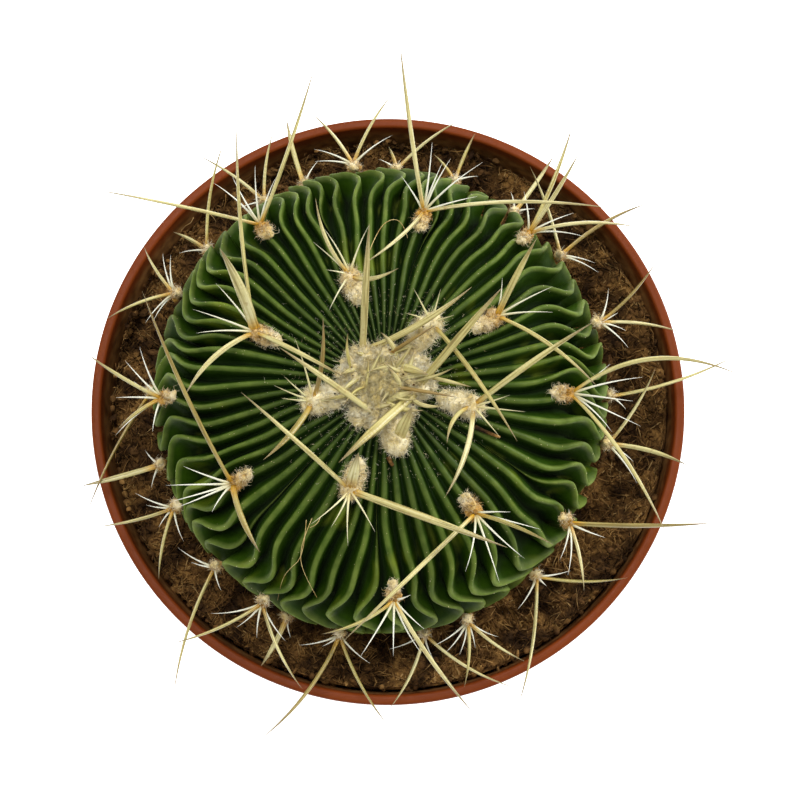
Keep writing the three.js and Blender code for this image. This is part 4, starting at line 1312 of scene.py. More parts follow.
def grow_spines(name, spines, material, sides, steps, straight, nodes):
    """Puts the spines' values on a point each, grows the spines and settles them."""
    labels = ("root", "tip", "out", "wide", "thick", "bow", "tone", "age")
    mesh = points_mesh(
        name + "_roots", [s.root for s in spines],
        **{label: [getattr(s, label) for s in spines] for label in labels},
    )
    piece = spine_tree(name, material, sides, steps, straight).grow(name, mesh)
    settle(piece, "spines", *nodes)


grow_spines(
    "long_spines", flats, straw, sides=8, steps=18, straight=0, nodes=[*AREOLE_NODES, "crown"],
)
grow_spines("fine_spines", fines, glassy, sides=7, steps=10, straight=1, nodes=AREOLE_NODES)

# %% [markdown]
# ## Wool
#
# Each pad is a small lumpy cushion with short curled hairs on it. A particle system could
# grow them, but its hair is no mesh, so here nodes do all of it. The cushion is three balls
# set along the rib and pushed in and out by noise. The hairs are scattered over it, and each
# is a three-sided strand that leaves along the surface's way out, turned at random, and curls
# on its way. The crown is made alike at a larger size, with a lobed edge and tufts.

# %% Wool finish
# The wool in the middle of the crown is yellower, out to between these distances.
WOOL_MIDDLE = (2.2 * MM, 5.2 * MM)
WOOL = {
    "shaded": screen(200, 184, 134), "cream": screen(226, 216, 178), "white": screen(242, 237, 214),
    "middle": screen(180, 165, 108), "golden": screen(188, 142, 52), "stain": screen(140, 102, 30),
    "root": screen(244, 236, 214),
}


def wool_finish():
    """Cream wool in patches, yellower in the middle of the crown and golden where it is old."""
    finish = Finish("cream_wool", 0.9, 0.2)
    patches = finish.noise(1.3 * MM, 4)
    colour = finish.ramp(
        patches, (0.34, WOOL["shaded"]), (0.5, WOOL["cream"]), (0.64, WOOL["white"]),
    )
    spot = finish.place() - finish.vector(*[float(v) for v in crown_middle])
    aside = calc("SQRT", spot.part("X") * spot.part("X") + spot.part("Y") * spot.part("Y"))
    inner = (1 - ease(aside, *WOOL_MIDDLE)) * 0.8
    colour = finish.blend(inner, colour, WOOL["middle"])
    age = finish.attribute("age")
    stains = finish.ramp(finish.noise(0.9 * MM, 3), (0.44, 0.0), (0.56, 1.0))
    golden = finish.blend(age * 0.95, colour, WOOL["golden"])
    aged = finish.blend(age * stains, golden, WOOL["stain"])
    roots = finish.ramp(finish.attribute("share"), (0.0, WOOL["root"]), (0.5, WHITE))
    return finish.wear(
        Base_Color=finish.blend(1.0, aged, roots, "MULTIPLY"), Subsurface_Weight=0.15,
        Subsurface_Scale=0.8 * MM, Subsurface_Radius=GLOW_RADIUS, Sheen_Weight=0.1,
    )


wool = wool_finish()
print("made the finish", wool.name)

# %% Hairs for any surface


def strands(tree, surface, density, length, thick, lift, curl, seed, steps=2, within=1):
    """Curled three-sided strands scattered over a surface. Each tapers to a point, and none
    reaches further from the axis than `within`. Length is the least and the most."""
    points, way_out = tree.scatter(surface, density, seed)
    points = tree.store(points, "root", tree.position())
    points = tree.store(points, "out", way_out)
    for label, shift in (("turned", 1), ("curled", 2)):
        points = tree.store(
            points, label, tree.random((-1, -1, -1), (1, 1, 1), seed + shift, "FLOAT_VECTOR"),
        )
    points = tree.store(points, "length", tree.random(*length, seed + 3))
    points = tree.store(points, "tone", tree.random(0.0, 1.0, seed + 4))
    cone = tree.add("GeometryNodeMeshCone", {
        "Vertices": 3, "Side Segments": steps, "Radius Top": 0, "Radius Bottom": 1, "Depth": 1,
    }, fill_type="TRIANGLE_FAN")
    hairs = tree.copies(points, tree.store(cone, "unit", tree.position()))
    root, out, turned, curled, unit = [
        tree.read(n, "FLOAT_VECTOR") for n in ("root", "out", "turned", "curled", "unit")
    ]
    length, tone = tree.read("length"), tree.read("tone")
    t = unit.part("Z")
    ahead = vector_step("NORMALIZE", out * lift + turned)
    side = vector_step("NORMALIZE", vector_step("CROSS_PRODUCT", ahead, curled))
    face = vector_step("CROSS_PRODUCT", ahead, side)
    swing = sine(t * (3 + 4 * tone) + tone * TAU) - sine(tone * TAU)
    place = root + ahead * (length * (t - 0.1)) + side * (swing * length * curl)
    place = place + face * (sine(t * (2 + 5 * tone)) * length * (curl * 0.7))
    x, y = place.part("X"), place.part("Y")
    held = least(within / calc("SQRT", x * x + y * y + 1e-9), 1)
    place = tree.vector(x * held, y * held, place.part("Z"))
    place = place + side * (unit.part("X") * thick) + face * (unit.part("Y") * thick)
    hairs = tree.store(hairs, "share", t)
    return tree.shape(hairs, place)


print("ready to grow hair")

# %% Lumps and crumbs for any surface
CRUMB_LUMPS = {"size": 0.6 * MM, "height": 0.3 * MM}


def lumpy(tree, surface, size, height, seed):
    """Pushes a surface in and out along its way out, by noise."""
    noise = tree.add("ShaderNodeTexNoise", {
        "Vector": tree.position() + tree.vector(seed, seed * 0.7, 0), "Scale": 1 / size,
        "Detail": 3,
    })
    push = tree.add("GeometryNodeInputNormal") * ((noise - 0.5) * (2 * height))
    return tree.add("GeometryNodeSetPosition", {"Geometry": surface, "Offset": push})


def crumbs(tree, surface, density, least_size, most_size, seed):
    """Lumpy crumbs scattered over a surface, each of a random size along its three axes."""
    points = tree.scatter(surface, density, seed)[0]
    points = tree.store(points, "tone", tree.random(0.0, 1.0, seed + 1))
    ball = tree.add("GeometryNodeMeshIcoSphere", {"Radius": 1, "Subdivisions": 2})
    balls = tree.copies(
        points, ball, Rotation=tree.random((0, 0, 0), (TAU, TAU, TAU), seed + 2, "FLOAT_VECTOR"),
        Scale=tree.random(least_size, most_size, seed + 3, "FLOAT_VECTOR"),
    )
    return lumpy(tree, balls, **CRUMB_LUMPS, seed=seed)


print("a crumb's lumps are", round(CRUMB_LUMPS["height"] / MM, 1), "mm high")

# %% The wool of the pads
PAD = {"Along": 1.5 * MM, "Across": 1.2 * MM, "Thick": 1.1 * MM}
# Each pad is three lumps, smaller and whiter towards the crown: how far up the rib each is,
# its size and its share of gold.
PAD_LUMPS = [(0.3 * MM, 0.85, 0.95), (1.2 * MM, 0.8, 0.5), (2.1 * MM, 0.6, 0.15)]
# The wool of a young pad stands out further than the pad itself.
FLUFFED = 1.3


def pad_tree(material):
    """A lumpy cushion with hair on each point. Points carry a way out and a way ahead."""
    tree = Tree("pad_wool", {**PAD, "Hairs a square metre": 1.25e7, "Seed": 11}, material)
    ball = tree.add("GeometryNodeMeshUVSphere", {"Segments": 16, "Rings": 10, "Radius": 1})
    ball = tree.store(ball, "facing", tree.position().part("Z"))
    points = tree.add("GeometryNodeMeshToPoints", {"Mesh": tree.given()})
    turned = tree.add("FunctionNodeAxesToRotation", {
        "Primary Axis": tree.read("out", "FLOAT_VECTOR"),
        "Secondary Axis": tree.read("ahead", "FLOAT_VECTOR"),
    }, primary_axis="Z", secondary_axis="X")
    scale = tree.vector(tree.size("Along"), tree.size("Across"), tree.size("Thick"))
    cores = tree.copies(points, ball, Rotation=turned, Scale=scale * tree.read("size"))
    cores = lumpy(tree, cores, size=0.7 * MM, height=0.95 * MM, seed=3)
    outwards = ease(tree.read("facing"), -0.2, 0.1)
    age = tree.read("age")
    hair = strands(
        tree, cores, tree.size("Hairs a square metre") * outwards * mix(1.15, 0.6, age),
        length=(0.4 * MM, mix(1.4, 0.8, age) * MM), thick=0.045 * MM, lift=1.0, curl=0.22,
        seed=tree.size("Seed"),
    )
    tree.finish(tree.join(cores, hair))
    return tree


seats = [
    (*seat(*place), pad_share(place[1]) * mix(FLUFFED, 1, ripe(place[1])), ripe(place[1]))
    for place, *_ in [*PADS, CROWN_TUFT]
]
lumps = [
    SimpleNamespace(place=at - ahead * back * grown, ahead=ahead, out=out, size=grown * size,
                    age=age * old)
    for at, ahead, _, out, grown, old in seats for back, size, age in PAD_LUMPS
]
pad_mesh = points_mesh("pad_lumps", [lump.place for lump in lumps], **{
    label: [getattr(lump, label) for lump in lumps] for label in ("ahead", "out", "size", "age")
})
pads = pad_tree(wool).grow("pad_wool", pad_mesh)
settle(pads, "wool", *AREOLE_NODES, "crown")

# %% The wool of the crown
CROWN = {"Radius": 5.7 * MM, "Thick": 1.5 * MM}
CROWN_LOBES = [(3, 0.6 * MM, 0.6), (5, 0.4 * MM, 0), (11, 0.25 * MM, 2)]


def crown_tree(material):
    """One wide cushion with a lobed edge, tufts and hair."""
    tree = Tree("crown_wool", {
        **CROWN, "Tufts a square metre": 6e5, "Hairs a square metre": 1.7e7, "Seed": 31,
    }, material)
    ball = tree.add("GeometryNodeMeshUVSphere", {"Segments": 64, "Rings": 24, "Radius": 1})
    spot = tree.position()
    turn = calc("ARCTAN2", spot.part("Y"), spot.part("X"))
    edge = tree.size("Radius") + waves(CROWN_LOBES, turn)
    middle = [float(v) for v in crown_middle]
    cushion = tree.shape(ball, tree.vector(
        spot.part("X") * edge + middle[0], spot.part("Y") * edge + middle[1],
        spot.part("Z") * tree.size("Thick") + middle[2],
    ))
    tufts = crumbs(
        tree, cushion, tree.size("Tufts a square metre"), (0.5 * MM, 0.5 * MM, 0.4 * MM),
        (1.3 * MM, 1.1 * MM, 1.0 * MM), seed=33,
    )
    cushion = tree.join(lumpy(tree, cushion, size=1.6 * MM, height=0.9 * MM, seed=7), tufts)
    outwards = ease(tree.position().part("Z"), middle[2] - 0.4 * MM, middle[2] + 0.2 * MM)
    hair = strands(
        tree, cushion, tree.size("Hairs a square metre") * outwards,
        length=(0.4 * MM, 1.5 * MM), thick=0.05 * MM, lift=0.7, curl=0.3,
        seed=tree.size("Seed"),
    )
    tree.finish(tree.join(cushion, hair))
    return tree


crown = crown_tree(wool).grow("crown_wool", points_mesh("crown_seed", [(0, 0, 0)]))
settle(crown, "wool", "crown")

# %% [markdown]
# ## Fluff and specks on the ribs
#
# Short fluff from the crown clings to the young ribs round it, and tiny pale specks of wax
# and dust sit on the crests. They could be spots in the skin's material, but up close they
# stand out from it. So both are scattered over a copy of the body by the values that its
# tree stored: fluff where a place is near the crown, specks where it is on a crest.

# %% Fluff and specks
# Fluff and specks thin out between these shares of the way down a rib.
FLUFF_ENDS = (0.24, 0.46)
SPECKS_END = (0.9, 1.3)
SPECK_RADII = (0.02 * MM, 0.07 * MM)


def fluff_tree(material):
    """Short hair on the ribs near the crown."""
    tree = Tree("rib_fluff", {"Hairs a square metre": 9e5, "Seed": 71}, material)
    near = 1 - ease(tree.read("far"), *FLUFF_ENDS)
    tree.finish(strands(
        tree, tree.given(), tree.size("Hairs a square metre") * near,
        length=(0.2 * MM, 0.8 * MM), thick=0.025 * MM, lift=0.5, curl=0.3,
        seed=tree.size("Seed"),
    ))
    return tree


def speck_tree(material):
    """Tiny balls on the crests, fewer below the widest part."""
    tree = Tree("rib_specks", {"Specks a square metre": 5e5, "Seed": 81}, material)
    wanted = ease(tree.read("edge"), 0.1, 0.6) * (1 - ease(tree.read("far"), *SPECKS_END))
    density = tree.size("Specks a square metre") * wanted
    points = tree.scatter(tree.given(), density, tree.size("Seed"))[0]
    ball = tree.add("GeometryNodeMeshIcoSphere", {"Radius": 1, "Subdivisions": 1})
    low, high = [(radius,) * 3 for radius in SPECK_RADII]
    radii = tree.random(low, high, tree.size("Seed") + 2, "FLOAT_VECTOR")
    tree.finish(tree.copies(points, ball, Scale=radii))
    return tree


fluff = fluff_tree(wool).grow("rib_fluff", body.data.copy())
settle(fluff, "wool")
specks = speck_tree(wool).grow("rib_specks", body.data.copy())
settle(specks, "wool")

# %% [markdown]
# ## The pot
#
# A thin plastic pot is moulded as one turned shape. It could be put together from cones and
# rings, but then its seams would show, so it is one outline turned about its axis, with its
# corners rounded by small curves. A Boolean modifier cuts the drainage holes through the
# floor, and its result is kept as a plain mesh.

# %% Sizes of the pot and the soil
# Sizes in this cell are in millimetres, as they would be on a maker's drawing.
POT = {
    "height": 66, "rim radius": 42.5, "rim band": 1.5, "lip": 1.4, "bevel": 0.5, "collar": 12,
    "collar foot": 41.6, "step": 0.4, "wall top": 40.3, "foot radius": 29.6, "wall": 1.2,
    "floor": 2.8, "edge": 1.2, "corner": 0.3, "small corner": 0.15, "inner corner": 0.4,
}
UNDERSIDE = {"disc": 13, "channel in": 14.5, "channel out": 24, "ring": 25, "depth": 1.2}
DRAIN = {"count": 8, "radius": 3, "circle": 19.3, "sides": 32}
SOIL = {"below": 8, "side": 5, "lump": 0.55}
# The hollow in the soil that the foot of the plant and its root collar stand in.
WELL = {"aside": 1.6, "lip": 0.7, "below": 1.2, "at collar": 1.6, "gap": 0.5}
CLEARANCE = 0.3


def wall_radius(z):
    """The outside of the tapered wall at a height, both in millimetres."""
    share = (z - POT["edge"]) / (POT["height"] - POT["collar"] - POT["edge"])
    return mix(POT["foot radius"], POT["wall top"], share)


print("half way up, the pot is", round(2 * wall_radius(POT["height"] / 2), 1), "mm wide")

# %% Turned shapes


def rounded(outline, steps=6, stay=1.25):
    """Rounds the corners of an outline of (r, z, how far the curve reaches), in some steps. A
    point a little outside each curve, by the share `stay`, keeps the flat beside it flat."""
    result = []
    for index, (*corner, reach) in enumerate(outline):
        corner = np.array(corner)
        if not reach:
            result.append(tuple(corner))
            continue
        ends = []
        for other in (outline[index - 1], outline[index + 1]):
            way = np.array(other[:2]) - corner
            ends.append(way / np.linalg.norm(way) * reach)
        result.append(tuple(corner + ends[0] * stay))
        for t in np.linspace(0, 1, steps + 1):
            result.append(tuple(corner + ends[0] * (1 - t) ** 2 + ends[1] * t * t))
        result.append(tuple(corner + ends[1] * stay))
    return result


def turned_points(rings, segments):
    """Points round the axis for each (r, z), ring after ring."""
    turns = [TAU * k / segments for k in range(segments)]
    return [(r * math.cos(a), r * math.sin(a), z) for r, z in rings for a in turns]


def new_mesh(name, points, faces):
    """A mesh from points in millimetres and faces."""
    mesh = bpy.data.meshes.new(name)
    mesh.from_pydata([tuple(v * MM for v in p) for p in points], [], faces)
    return mesh


def lathe(name, outline, segments):
    """A closed mesh: an outline in millimetres, from axis to axis, turned about the axis."""
    rings = outline[1:-1]
    points = turned_points(rings, segments)
    first, last = len(points), len(points) + 1
    points += [(0, 0, outline[0][1]), (0, 0, outline[-1][1])]
    end = (len(rings) - 1) * segments
    faces = []
    for k in range(segments):
        n = (k + 1) % segments
        faces += [(first, n, k), (last, end + k, end + n)]
        for start in range(0, end, segments):
            faces.append((start + k, start + n, start + segments + n, start + segments + k))
    return new_mesh(name, points, faces)


print("ready to turn shapes")

# %% The pot's finish
# Wet coir has stained the inside of the wall, in millimetres: how far out in the collar,
# how softly it ends across the wall, and between which heights it ends under the rim.
STAIN_IN_COLLAR = 41.2
STAIN_EDGE = 0.2
STAIN_HEIGHTS = (62.2, 65.2)
TERRACOTTA = {
    "dark": screen(106, 47, 15), "light": screen(114, 52, 18), "dust": screen(128, 72, 42),
    "dark silt": screen(88, 54, 26), "light silt": screen(156, 114, 68),
}


def pot_finish():
    """Terracotta-coloured plastic with dust, scratches and a stain of silt on the inside."""
    finish = Finish("terracotta_plastic", 0.5, 0.08)
    broad = finish.noise(14 * MM, 3)
    fine = finish.noise(0.8 * MM, 4)
    colour = finish.ramp(broad, (0.3, TERRACOTTA["dark"]), (0.7, TERRACOTTA["light"]))
    dust = finish.ramp(fine, (0.6, 0.0), (0.85, 0.3))
    dusty = finish.blend(dust, colour, TERRACOTTA["dust"])
    spot = finish.place() * (1 / MM)
    x, y, z = [spot.part(axis) for axis in "XYZ"]
    in_collar = ease(z, POT["height"] - POT["collar"], POT["height"] - POT["collar"] + 1)
    mid_wall = mix(wall_radius(z) - POT["wall"] / 2, STAIN_IN_COLLAR, in_collar)
    inside = 1 - ease(calc("SQRT", x * x + y * y) - mid_wall, -STAIN_EDGE, STAIN_EDGE)
    stain = inside * (1 - ease(z, *STAIN_HEIGHTS))
    silt = finish.ramp(
        finish.noise(1.6 * MM, 5), (0.35, TERRACOTTA["dark silt"]),
        (0.65, TERRACOTTA["light silt"]),
    )
    stained = finish.blend(stain * mix(0.75, 1.0, broad), dusty, silt)
    scratches = finish.noise(1.0 * MM, 4, stretch=(1, 1, 6))
    finish.bump(scratches * 0.6 + fine * 0.4, 0.25, 0.04 * MM)
    rough = finish.ramp(fine, (0.3, 0.38), (0.7, 0.52))
    return finish.wear(Base_Color=stained, Roughness=rough)


plastic = pot_finish()
print("made the finish", plastic.name)

# %% The pot
POT_SEGMENTS = 256
SHARP = math.radians(35)


def pot_outline():
    """The pot's outline: under the floor, up the outside, over the rim and down the inside."""
    p, u = POT, UNDERSIDE
    foot, wall, rim = p["foot radius"], p["wall"], p["rim radius"]
    collar_bottom = p["height"] - p["collar"]
    under = collar_bottom - p["step"]
    turn_in = under - p["step"]
    curve, corner = p["bevel"], p["corner"]
    return [
        (0, 0, 0), (u["disc"], 0, corner), (u["channel in"], u["depth"], corner),
        (u["channel out"], u["depth"], corner), (u["ring"], 0, corner),
        (foot, 0, p["edge"]), (wall_radius(under), under, p["small corner"]),
        (p["collar foot"], collar_bottom, corner), (rim, p["height"] - p["rim band"], corner),
        (rim, p["height"], curve), (rim - p["lip"], p["height"], curve),
        (p["collar foot"] - p["lip"], collar_bottom + p["edge"], p["inner corner"]),
        (wall_radius(turn_in) - wall, turn_in, corner),
        (wall_radius(p["floor"]) - wall, p["floor"], p["edge"]),
        (0, p["floor"], 0),
    ]


def cut_drain_holes(pot):
    """Cuts the holes with one cutter and a Boolean modifier, and keeps the result."""
    cutter = bpy.data.meshes.new("drain_cutter")
    shape = bmesh.new()
    for k in range(DRAIN["count"]):
        turn = (k + 0.5) * TAU / DRAIN["count"]
        spot = Vector((math.cos(turn), math.sin(turn), 0)) * DRAIN["circle"] * MM
        bmesh.ops.create_cone(
            shape, cap_ends=True, segments=DRAIN["sides"], radius1=DRAIN["radius"] * MM,
            radius2=DRAIN["radius"] * MM, depth=4 * POT["floor"] * MM,
            matrix=Matrix.Translation(spot),
        )
    shape.to_mesh(cutter)
    shape.free()
    tool = add_object("drain_cutter", cutter)
    cut = pot.modifiers.new("drain", "BOOLEAN")
    cut.operation = "DIFFERENCE"
    cut.solver = "EXACT"
    cut.object = tool
    view = bpy.context.evaluated_depsgraph_get()
    mesh = bpy.data.meshes.new_from_object(pot.evaluated_get(view), depsgraph=view)
    pot.modifiers.clear()
    pot.data = mesh
    bpy.data.objects.remove(tool)


pot = add_object("nursery_pot", lathe("nursery_pot", rounded(pot_outline()), POT_SEGMENTS))
cut_drain_holes(pot)
pot.data.shade_smooth()
pot.data.set_sharp_from_angle(angle=SHARP)
pot.data.materials.clear()
pot.data.materials.append(plastic)
settle(pot, "pot_plastic", "pot")
print("the pot has", len(pot.data.polygons), "faces")

# %% [markdown]
# ## Soil
#
# The pot is filled with coir: brown fibres and crumbs of coconut husk. Most of the plug keeps
# the solid model's form. A rough material alone would leave its top flat, so a tree works on
# the top: it pushes the surface up and down by noise, banks it up against the wall, scatters
# lumpy crumbs over it and lays loose curled fibres on it.

# %% The soil's finishes
# Light and dark clumps of coir are about this wide.
CLUMP = 4 * MM
COIR = {
    "dark": screen(32, 19, 7), "brown": screen(88, 61, 28), "light": screen(150, 112, 60),
    "dry crumb": screen(128, 92, 54), "grain": screen(150, 140, 130),
}
COIR_FIBRE = {
    "dark": screen(76, 50, 23), "brown": screen(130, 94, 50), "light": screen(172, 132, 76),
    "straw": screen(196, 160, 104), "shaded": screen(120, 108, 96),
}


def coir_finish():
    """Brown coir in light and dark clumps, with lighter crumbs and a fine grain."""
    finish = Finish("coir", 0.95, 0.15)
    blotches = finish.noise(CLUMP, 6)
    grain = finish.noise(0.35 * MM, 4)
    colour = finish.ramp(
        blotches, (0.38, COIR["dark"]), (0.5, COIR["brown"]), (0.63, COIR["light"]),
    )
    light = finish.ramp(finish.attribute("tone"), (0.0, 0.0), (1.0, 0.6))
    toned = finish.blend(light, colour, COIR["dry crumb"])
    speckled = finish.ramp(grain, (0.35, COIR["grain"]), (0.6, WHITE))
    finish.bump(grain, 0.6, 0.25 * MM)
    return finish.wear(Base_Color=finish.blend(0.8, toned, speckled, "MULTIPLY"))


def fibre_finish():
    """Coir fibres: each is one brown from its root to its tip."""
    finish = Finish("coir_fibre", 0.8, 0.15)
    colour = finish.ramp(
        finish.attribute("tone"), (0.0, COIR_FIBRE["dark"]), (0.5, COIR_FIBRE["brown"]),
        (0.85, COIR_FIBRE["light"]), (1.0, COIR_FIBRE["straw"]),
    )
    clumps = finish.ramp(finish.noise(CLUMP, 3), (0.4, COIR_FIBRE["shaded"]), (0.58, WHITE))
    return finish.wear(Base_Color=finish.blend(1.0, colour, clumps, "MULTIPLY"))


coir, fibre = coir_finish(), fibre_finish()
print("made the finishes", coir.name, "and", fibre.name)

# %% The soil's outline
SOIL_SEGMENTS = 300
SOIL_STEP = 0.55
# Loose coir lies right up to the collar's wall, which is wider than the wall below it.
SOIL_REACH, SOIL_FLARE = 39.8, 2.2


def soil_outline():
    """The plug's outline in millimetres, with many points along its top."""
    top = POT["height"] - SOIL["below"]
    corner = POT["floor"] + POT["edge"]
    side = top - SOIL["side"]
    outside = wall_radius(side) - POT["wall"] - CLEARANCE
    well = float(crest_profile(LAST_ROW, BODY)[0]) / MM + WELL["aside"]
    hole = ROOT["radius"] + WELL["gap"]
    foot = POT["height"] + ROOT["bottom"] - CLEARANCE
    rings = np.arange(SOIL_REACH, well, -SOIL_STEP)
    return [
        (0, POT["floor"] + CLEARANCE),
        (POT["foot radius"] - POT["wall"] - POT["edge"] - 2 * CLEARANCE, POT["floor"] + CLEARANCE),
        (wall_radius(corner) - POT["wall"] - 2 * CLEARANCE, corner + CLEARANCE),
        (outside, side), (SOIL_REACH, top - SOIL_FLARE), *[(float(r), top) for r in rings],
        (well, top - WELL["lip"]),
        (well, POT["height"] + ROOT["top"] - WELL["below"]),
        (hole, POT["height"] + ROOT["foot"] - WELL["at collar"]), (hole, foot), (0, foot),
    ]


soil_mesh = lathe("soil_plug", soil_outline(), SOIL_SEGMENTS)
print("the soil's plug has", len(soil_mesh.polygons), "faces")

# %% The soil and its fibres
# The plug's top is what lies over these depths under the soil's level, in millimetres: none
# of a place counts as top at the first, and all of it at the second.
TOP_STARTS = (1.2, 0.6)
TOP = {"Roughness": 4.4 * MM}
ROUGH_PATCH = 2.2 * MM
# The coir is banked up against the wall, and most to the right.
BANK = {
    "least": 0.8 * MM, "most": 3.6 * MM, "towards": math.radians(-20), "between": (33.5, 39.5),
    "lean": 0.15,
}
# No loose fibre reaches past this radius, into the wall.
LITTER_RADIUS = 39.9 * MM


def soil_surface(tree):
    """The plug with its top made uneven. It stores 1 on its top and 0 on its sides."""
    place = tree.position()
    x, y = place.part("X") * (1 / MM), place.part("Y") * (1 / MM)
    lumps = sine(0.31 * x + 1.1) * cosine(0.27 * y - 0.4) + 0.6 * sine(0.55 * x - 0.48 * y)
    rough = tree.add("ShaderNodeTexNoise", {"Vector": place, "Scale": 1 / ROUGH_PATCH, "Detail": 4})
    lift = lumps * (SOIL["lump"] * MM) + (rough - 0.5) * tree.size("Roughness")
    r = calc("SQRT", x * x + y * y)
    side = 0.5 + 0.5 * cosine(calc("ARCTAN2", y, x) - BANK["towards"])
    bank = mix(BANK["least"], BANK["most"], side) * ease(r, *BANK["between"])
    low, high = [(POT["height"] - SOIL["below"] - under) * MM for under in TOP_STARTS]
    kept = tree.store(tree.given(), "top", ease(place.part("Z"), low, high))
    lean = bank * BANK["lean"] / (r + 1)
    offset = tree.vector(x * lean, y * lean, lift + bank) * tree.read("top")
    return tree.add("GeometryNodeSetPosition", {"Geometry": kept, "Offset": offset})


def soil_tree(material):
    """The plug with its uneven top and the crumbs that lie on it."""
    tree = Tree("coir_soil", {**TOP, "Crumbs a square metre": 1.7e5, "Seed": 41}, material)
    surface = soil_surface(tree)
    bits = crumbs(
        tree, surface, tree.size("Crumbs a square metre") * tree.read("top"),
        (0.3 * MM, 0.2 * MM, 0.2 * MM), (1.5 * MM, 0.8 * MM, 0.6 * MM), seed=43,
    )
    surface = tree.store(surface, "tone", 0.2)
    tree.finish(tree.join(surface, bits))
    return tree


def fibre_tree(material):
    """The loose fibres on the same uneven top."""
    tree = Tree("coir_fibres", {**TOP, "Fibres a square metre": 2.4e6, "Seed": 61}, material)
    surface = soil_surface(tree)
    tree.finish(strands(
        tree, surface, tree.size("Fibres a square metre") * tree.read("top"),
        length=(1.2 * MM, 4.5 * MM), thick=0.15 * MM, lift=0.45, curl=0.05,
        seed=tree.size("Seed"), within=LITTER_RADIUS,
    ))
    return tree


soil = soil_tree(coir).grow("coir_soil", soil_mesh.copy())
settle(soil, "coir", "soil")
fibres = fibre_tree(fibre).grow("coir_fibres", soil_mesh)
settle(fibres, "coir", "soil")

# %% [markdown]
# ## Coir on the wall
#
# Crumbs and fibres cling to the inside of the wall over the soil. They could be spread by
# hand, but a tree does it evenly: it scatters them over a thin band just inside the wall and
# thins them out towards its top. The band itself isn't kept.

# %% Coir that clings to the wall
# The crumbs are a little darker than those on the soil.
CRUMB_TONE = 0.7
WALL_LITTER = {"from": 57.5, "to": 64.5}


def litter_tree(material):
    """Crumbs and fibres on a band round the inside of the wall, fewer towards its top."""
    tree = Tree("wall_litter", {
        "Crumbs a square metre": 5e5, "Fibres a square metre": 1.5e6, "Seed": 91,
    }, material)
    band = tree.given()
    low, high = WALL_LITTER["from"] * MM, WALL_LITTER["to"] * MM
    wanted = 1 - ease(tree.position().part("Z"), low, high)
    bits = crumbs(
        tree, band, tree.size("Crumbs a square metre") * wanted, (0.15 * MM,) * 3,
        (0.9 * MM, 0.6 * MM, 0.5 * MM), seed=93,
    )
    bits = tree.store(bits, "tone", tree.read("tone") * CRUMB_TONE)
    hair = strands(
        tree, band, tree.size("Fibres a square metre") * wanted, length=(1 * MM, 4 * MM),
        thick=0.11 * MM, lift=0.1, curl=0.08, seed=tree.size("Seed"), steps=4,
        within=LITTER_RADIUS,
    )
    tree.finish(tree.join(bits, hair))
    return tree


def wall_band(steps=8):
    """A thin open band just inside the wall, where the litter clings."""
    heights = np.linspace(WALL_LITTER["from"], WALL_LITTER["to"], steps)
    points = turned_points([(LITTER_RADIUS / MM, z) for z in heights], SOIL_SEGMENTS)
    faces = []
    for start in range(0, (steps - 1) * SOIL_SEGMENTS, SOIL_SEGMENTS):
        for k in range(SOIL_SEGMENTS):
            n = (k + 1) % SOIL_SEGMENTS
            above = start + SOIL_SEGMENTS
            faces.append((start + n, start + k, above + k, above + n))
    return new_mesh("wall_band", points, faces)


litter = litter_tree(fibre).grow("wall_litter", wall_band())
settle(litter, "coir", "soil")

# %% [markdown]
# ## Loose things
#
# A few pale brown fibres have fallen on the plant, dried scraps stick between its ribs, and
# dark specks are caught on the wool of its crown. They are so few that each is placed on its
# own, where the picture shows it. Each is a short curve with a thickness at its points,
# because a curve bends smoothly through a few places, and it is then turned into a mesh.

# %% Where the loose things lie
# Each row is a thickness, a lift over the crests, and places across and up, in millimetres.
LOOSE = [
    (0.05, 0.5, [(-2.5, 22.2), (-1.3, 25.3), (0.7, 26.8), (2.3, 26.0), (2.9, 23.9)]),
    (0.05, 0.35, [(-9.6, -16.0), (-9.9, -17.2), (-11.1, -17.5)]),
    (0.05, 0.4, [
        (-10.8, -16.2), (-11.8, -18.6), (-12.4, -20.7), (-12.4, -22.9), (-11.1, -25.7),
        (-10.1, -27.5),
    ]),
    (0.045, 0.45, [
        (-11.6, -16.4), (-11.8, -19.3), (-12.5, -22.2), (-13.9, -23.3), (-15.2, -25.0),
        (-15.7, -27.9),
    ]),
]
SCRAPS = [
    (0.35, 0.2, [(0.1, -7.4), (0.4, -8.1), (0.8, -8.7)]),
    (0.3, 0.2, [(12.1, -1.0), (12.3, -1.6), (12.4, -2.1)]),
    (0.3, 0.3, [(12.5, -3.1), (14.2, -3.9), (16.1, -4.6)]),
]
# Dark specks caught on the wool of the crown: their size, their lift, and where they are.
GRAIN_SIZE, GRAIN_LIFT = 0.13, 2.3
GRAINS = [
    (-5.1, 5.4), (-3.1, 4.7), (-4.9, 4.2), (1.5, 4.2), (3.8, 2.9), (3.7, 0), (-7.5, 1.6),
    (0.4, 7.9), (0.9, 7.5), (2.3, 4.4), (-1.2, 2.6), (5.1, 11.2),
]
GRAIN_BOW = 0.04
# Each curve loses this share of its thickness towards its end.
TAPER = 0.6
FALLEN = {"tan": screen(170, 138, 82), "straw": screen(206, 182, 124)}
print("the longest fibre goes through", max(len(spots) for *_, spots in LOOSE), "places")

# %% Lay the loose things


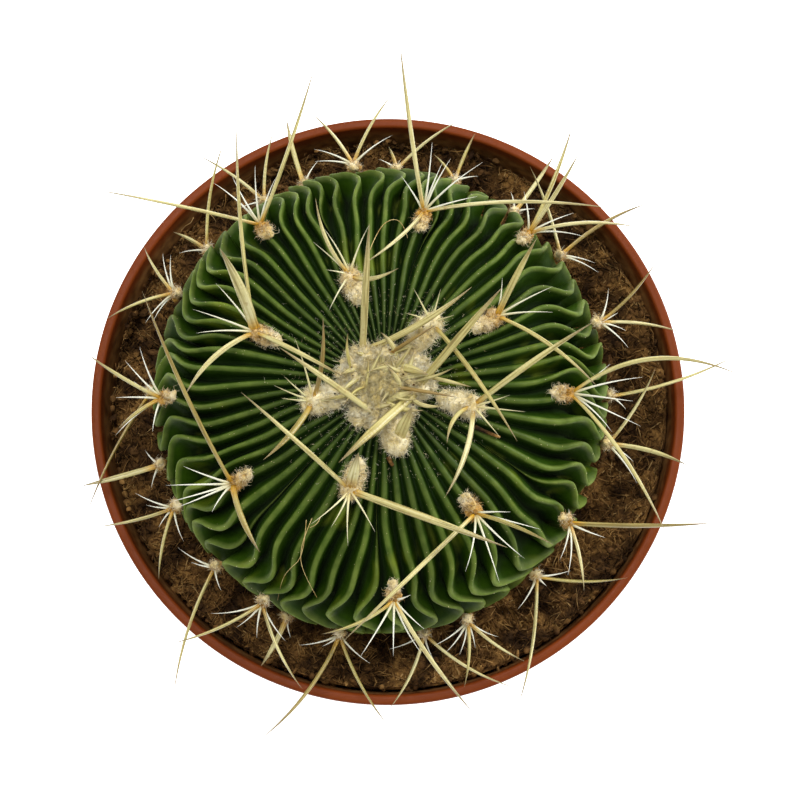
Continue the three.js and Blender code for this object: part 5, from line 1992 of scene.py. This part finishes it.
def rest_on(spot, above):
    """The point over the crests that is seen at a spot, both given in millimetres."""
    height = RIM_HEIGHT + BODY["Equator"]
    for _ in range(SIGHT_PASSES):
        point = at_height(np.array(spot) * MM, height)
        r = math.hypot(point[0] - CROWN_AT[0], point[1] - CROWN_AT[1]) / BODY["Radius"]
        colat = math.asin(min(r, 0.999) ** (1 / BODY["Drawn"]))
        height = RIM_HEIGHT + float(crest_profile(colat, BODY)[1]) + above * MM
    return point


def lay_curves(name, rows, material, slot):
    """Lays a thin, tapering curve for each row and settles them as one piece."""
    data = bpy.data.curves.new(name, "CURVE")
    data.dimensions = "3D"
    data.bevel_depth = 1.0
    data.bevel_resolution = 2
    data.resolution_u = 8
    data.use_fill_caps = True
    for thick, above, spots in rows:
        line = data.splines.new("NURBS")
        line.points.add(len(spots) - 1)
        for k, (point, spot) in enumerate(zip(line.points, spots)):
            point.co = (*rest_on(spot, above), 1)
            point.radius = thick * MM * (1 - TAPER * k / len(spots))
        line.use_endpoint_u = True
        line.order_u = 3
    carrier = add_object(name + "_curves", data)
    mesh = bpy.data.meshes.new_from_object(
        carrier.evaluated_get(bpy.context.evaluated_depsgraph_get()),
    )
    bpy.data.objects.remove(carrier)
    mesh.materials.clear()
    mesh.materials.append(material)
    mesh.shade_smooth()
    settle(add_object(name, mesh), slot)


def pale_fibre_finish():
    """A dry fibre, in patches of tan and straw."""
    finish = Finish("pale_fibre", 0.6, 0.2)
    patches = finish.noise(1.5 * MM, 2)
    return finish.wear(
        Base_Color=finish.ramp(patches, (0.4, FALLEN["tan"]), (0.6, FALLEN["straw"])),
    )


lay_curves("loose_fibres", LOOSE, pale_fibre_finish(), "coir")
grains = [
    (GRAIN_SIZE, GRAIN_LIFT, [(x - GRAIN_SIZE, y), (x, y + GRAIN_BOW), (x + GRAIN_SIZE, y)])
    for x, y in GRAINS
]
lay_curves("dried_scraps", SCRAPS + grains, coir, "coir")
print("laid", len(LOOSE), "fibres,", len(SCRAPS), "scraps and", len(GRAINS), "specks")
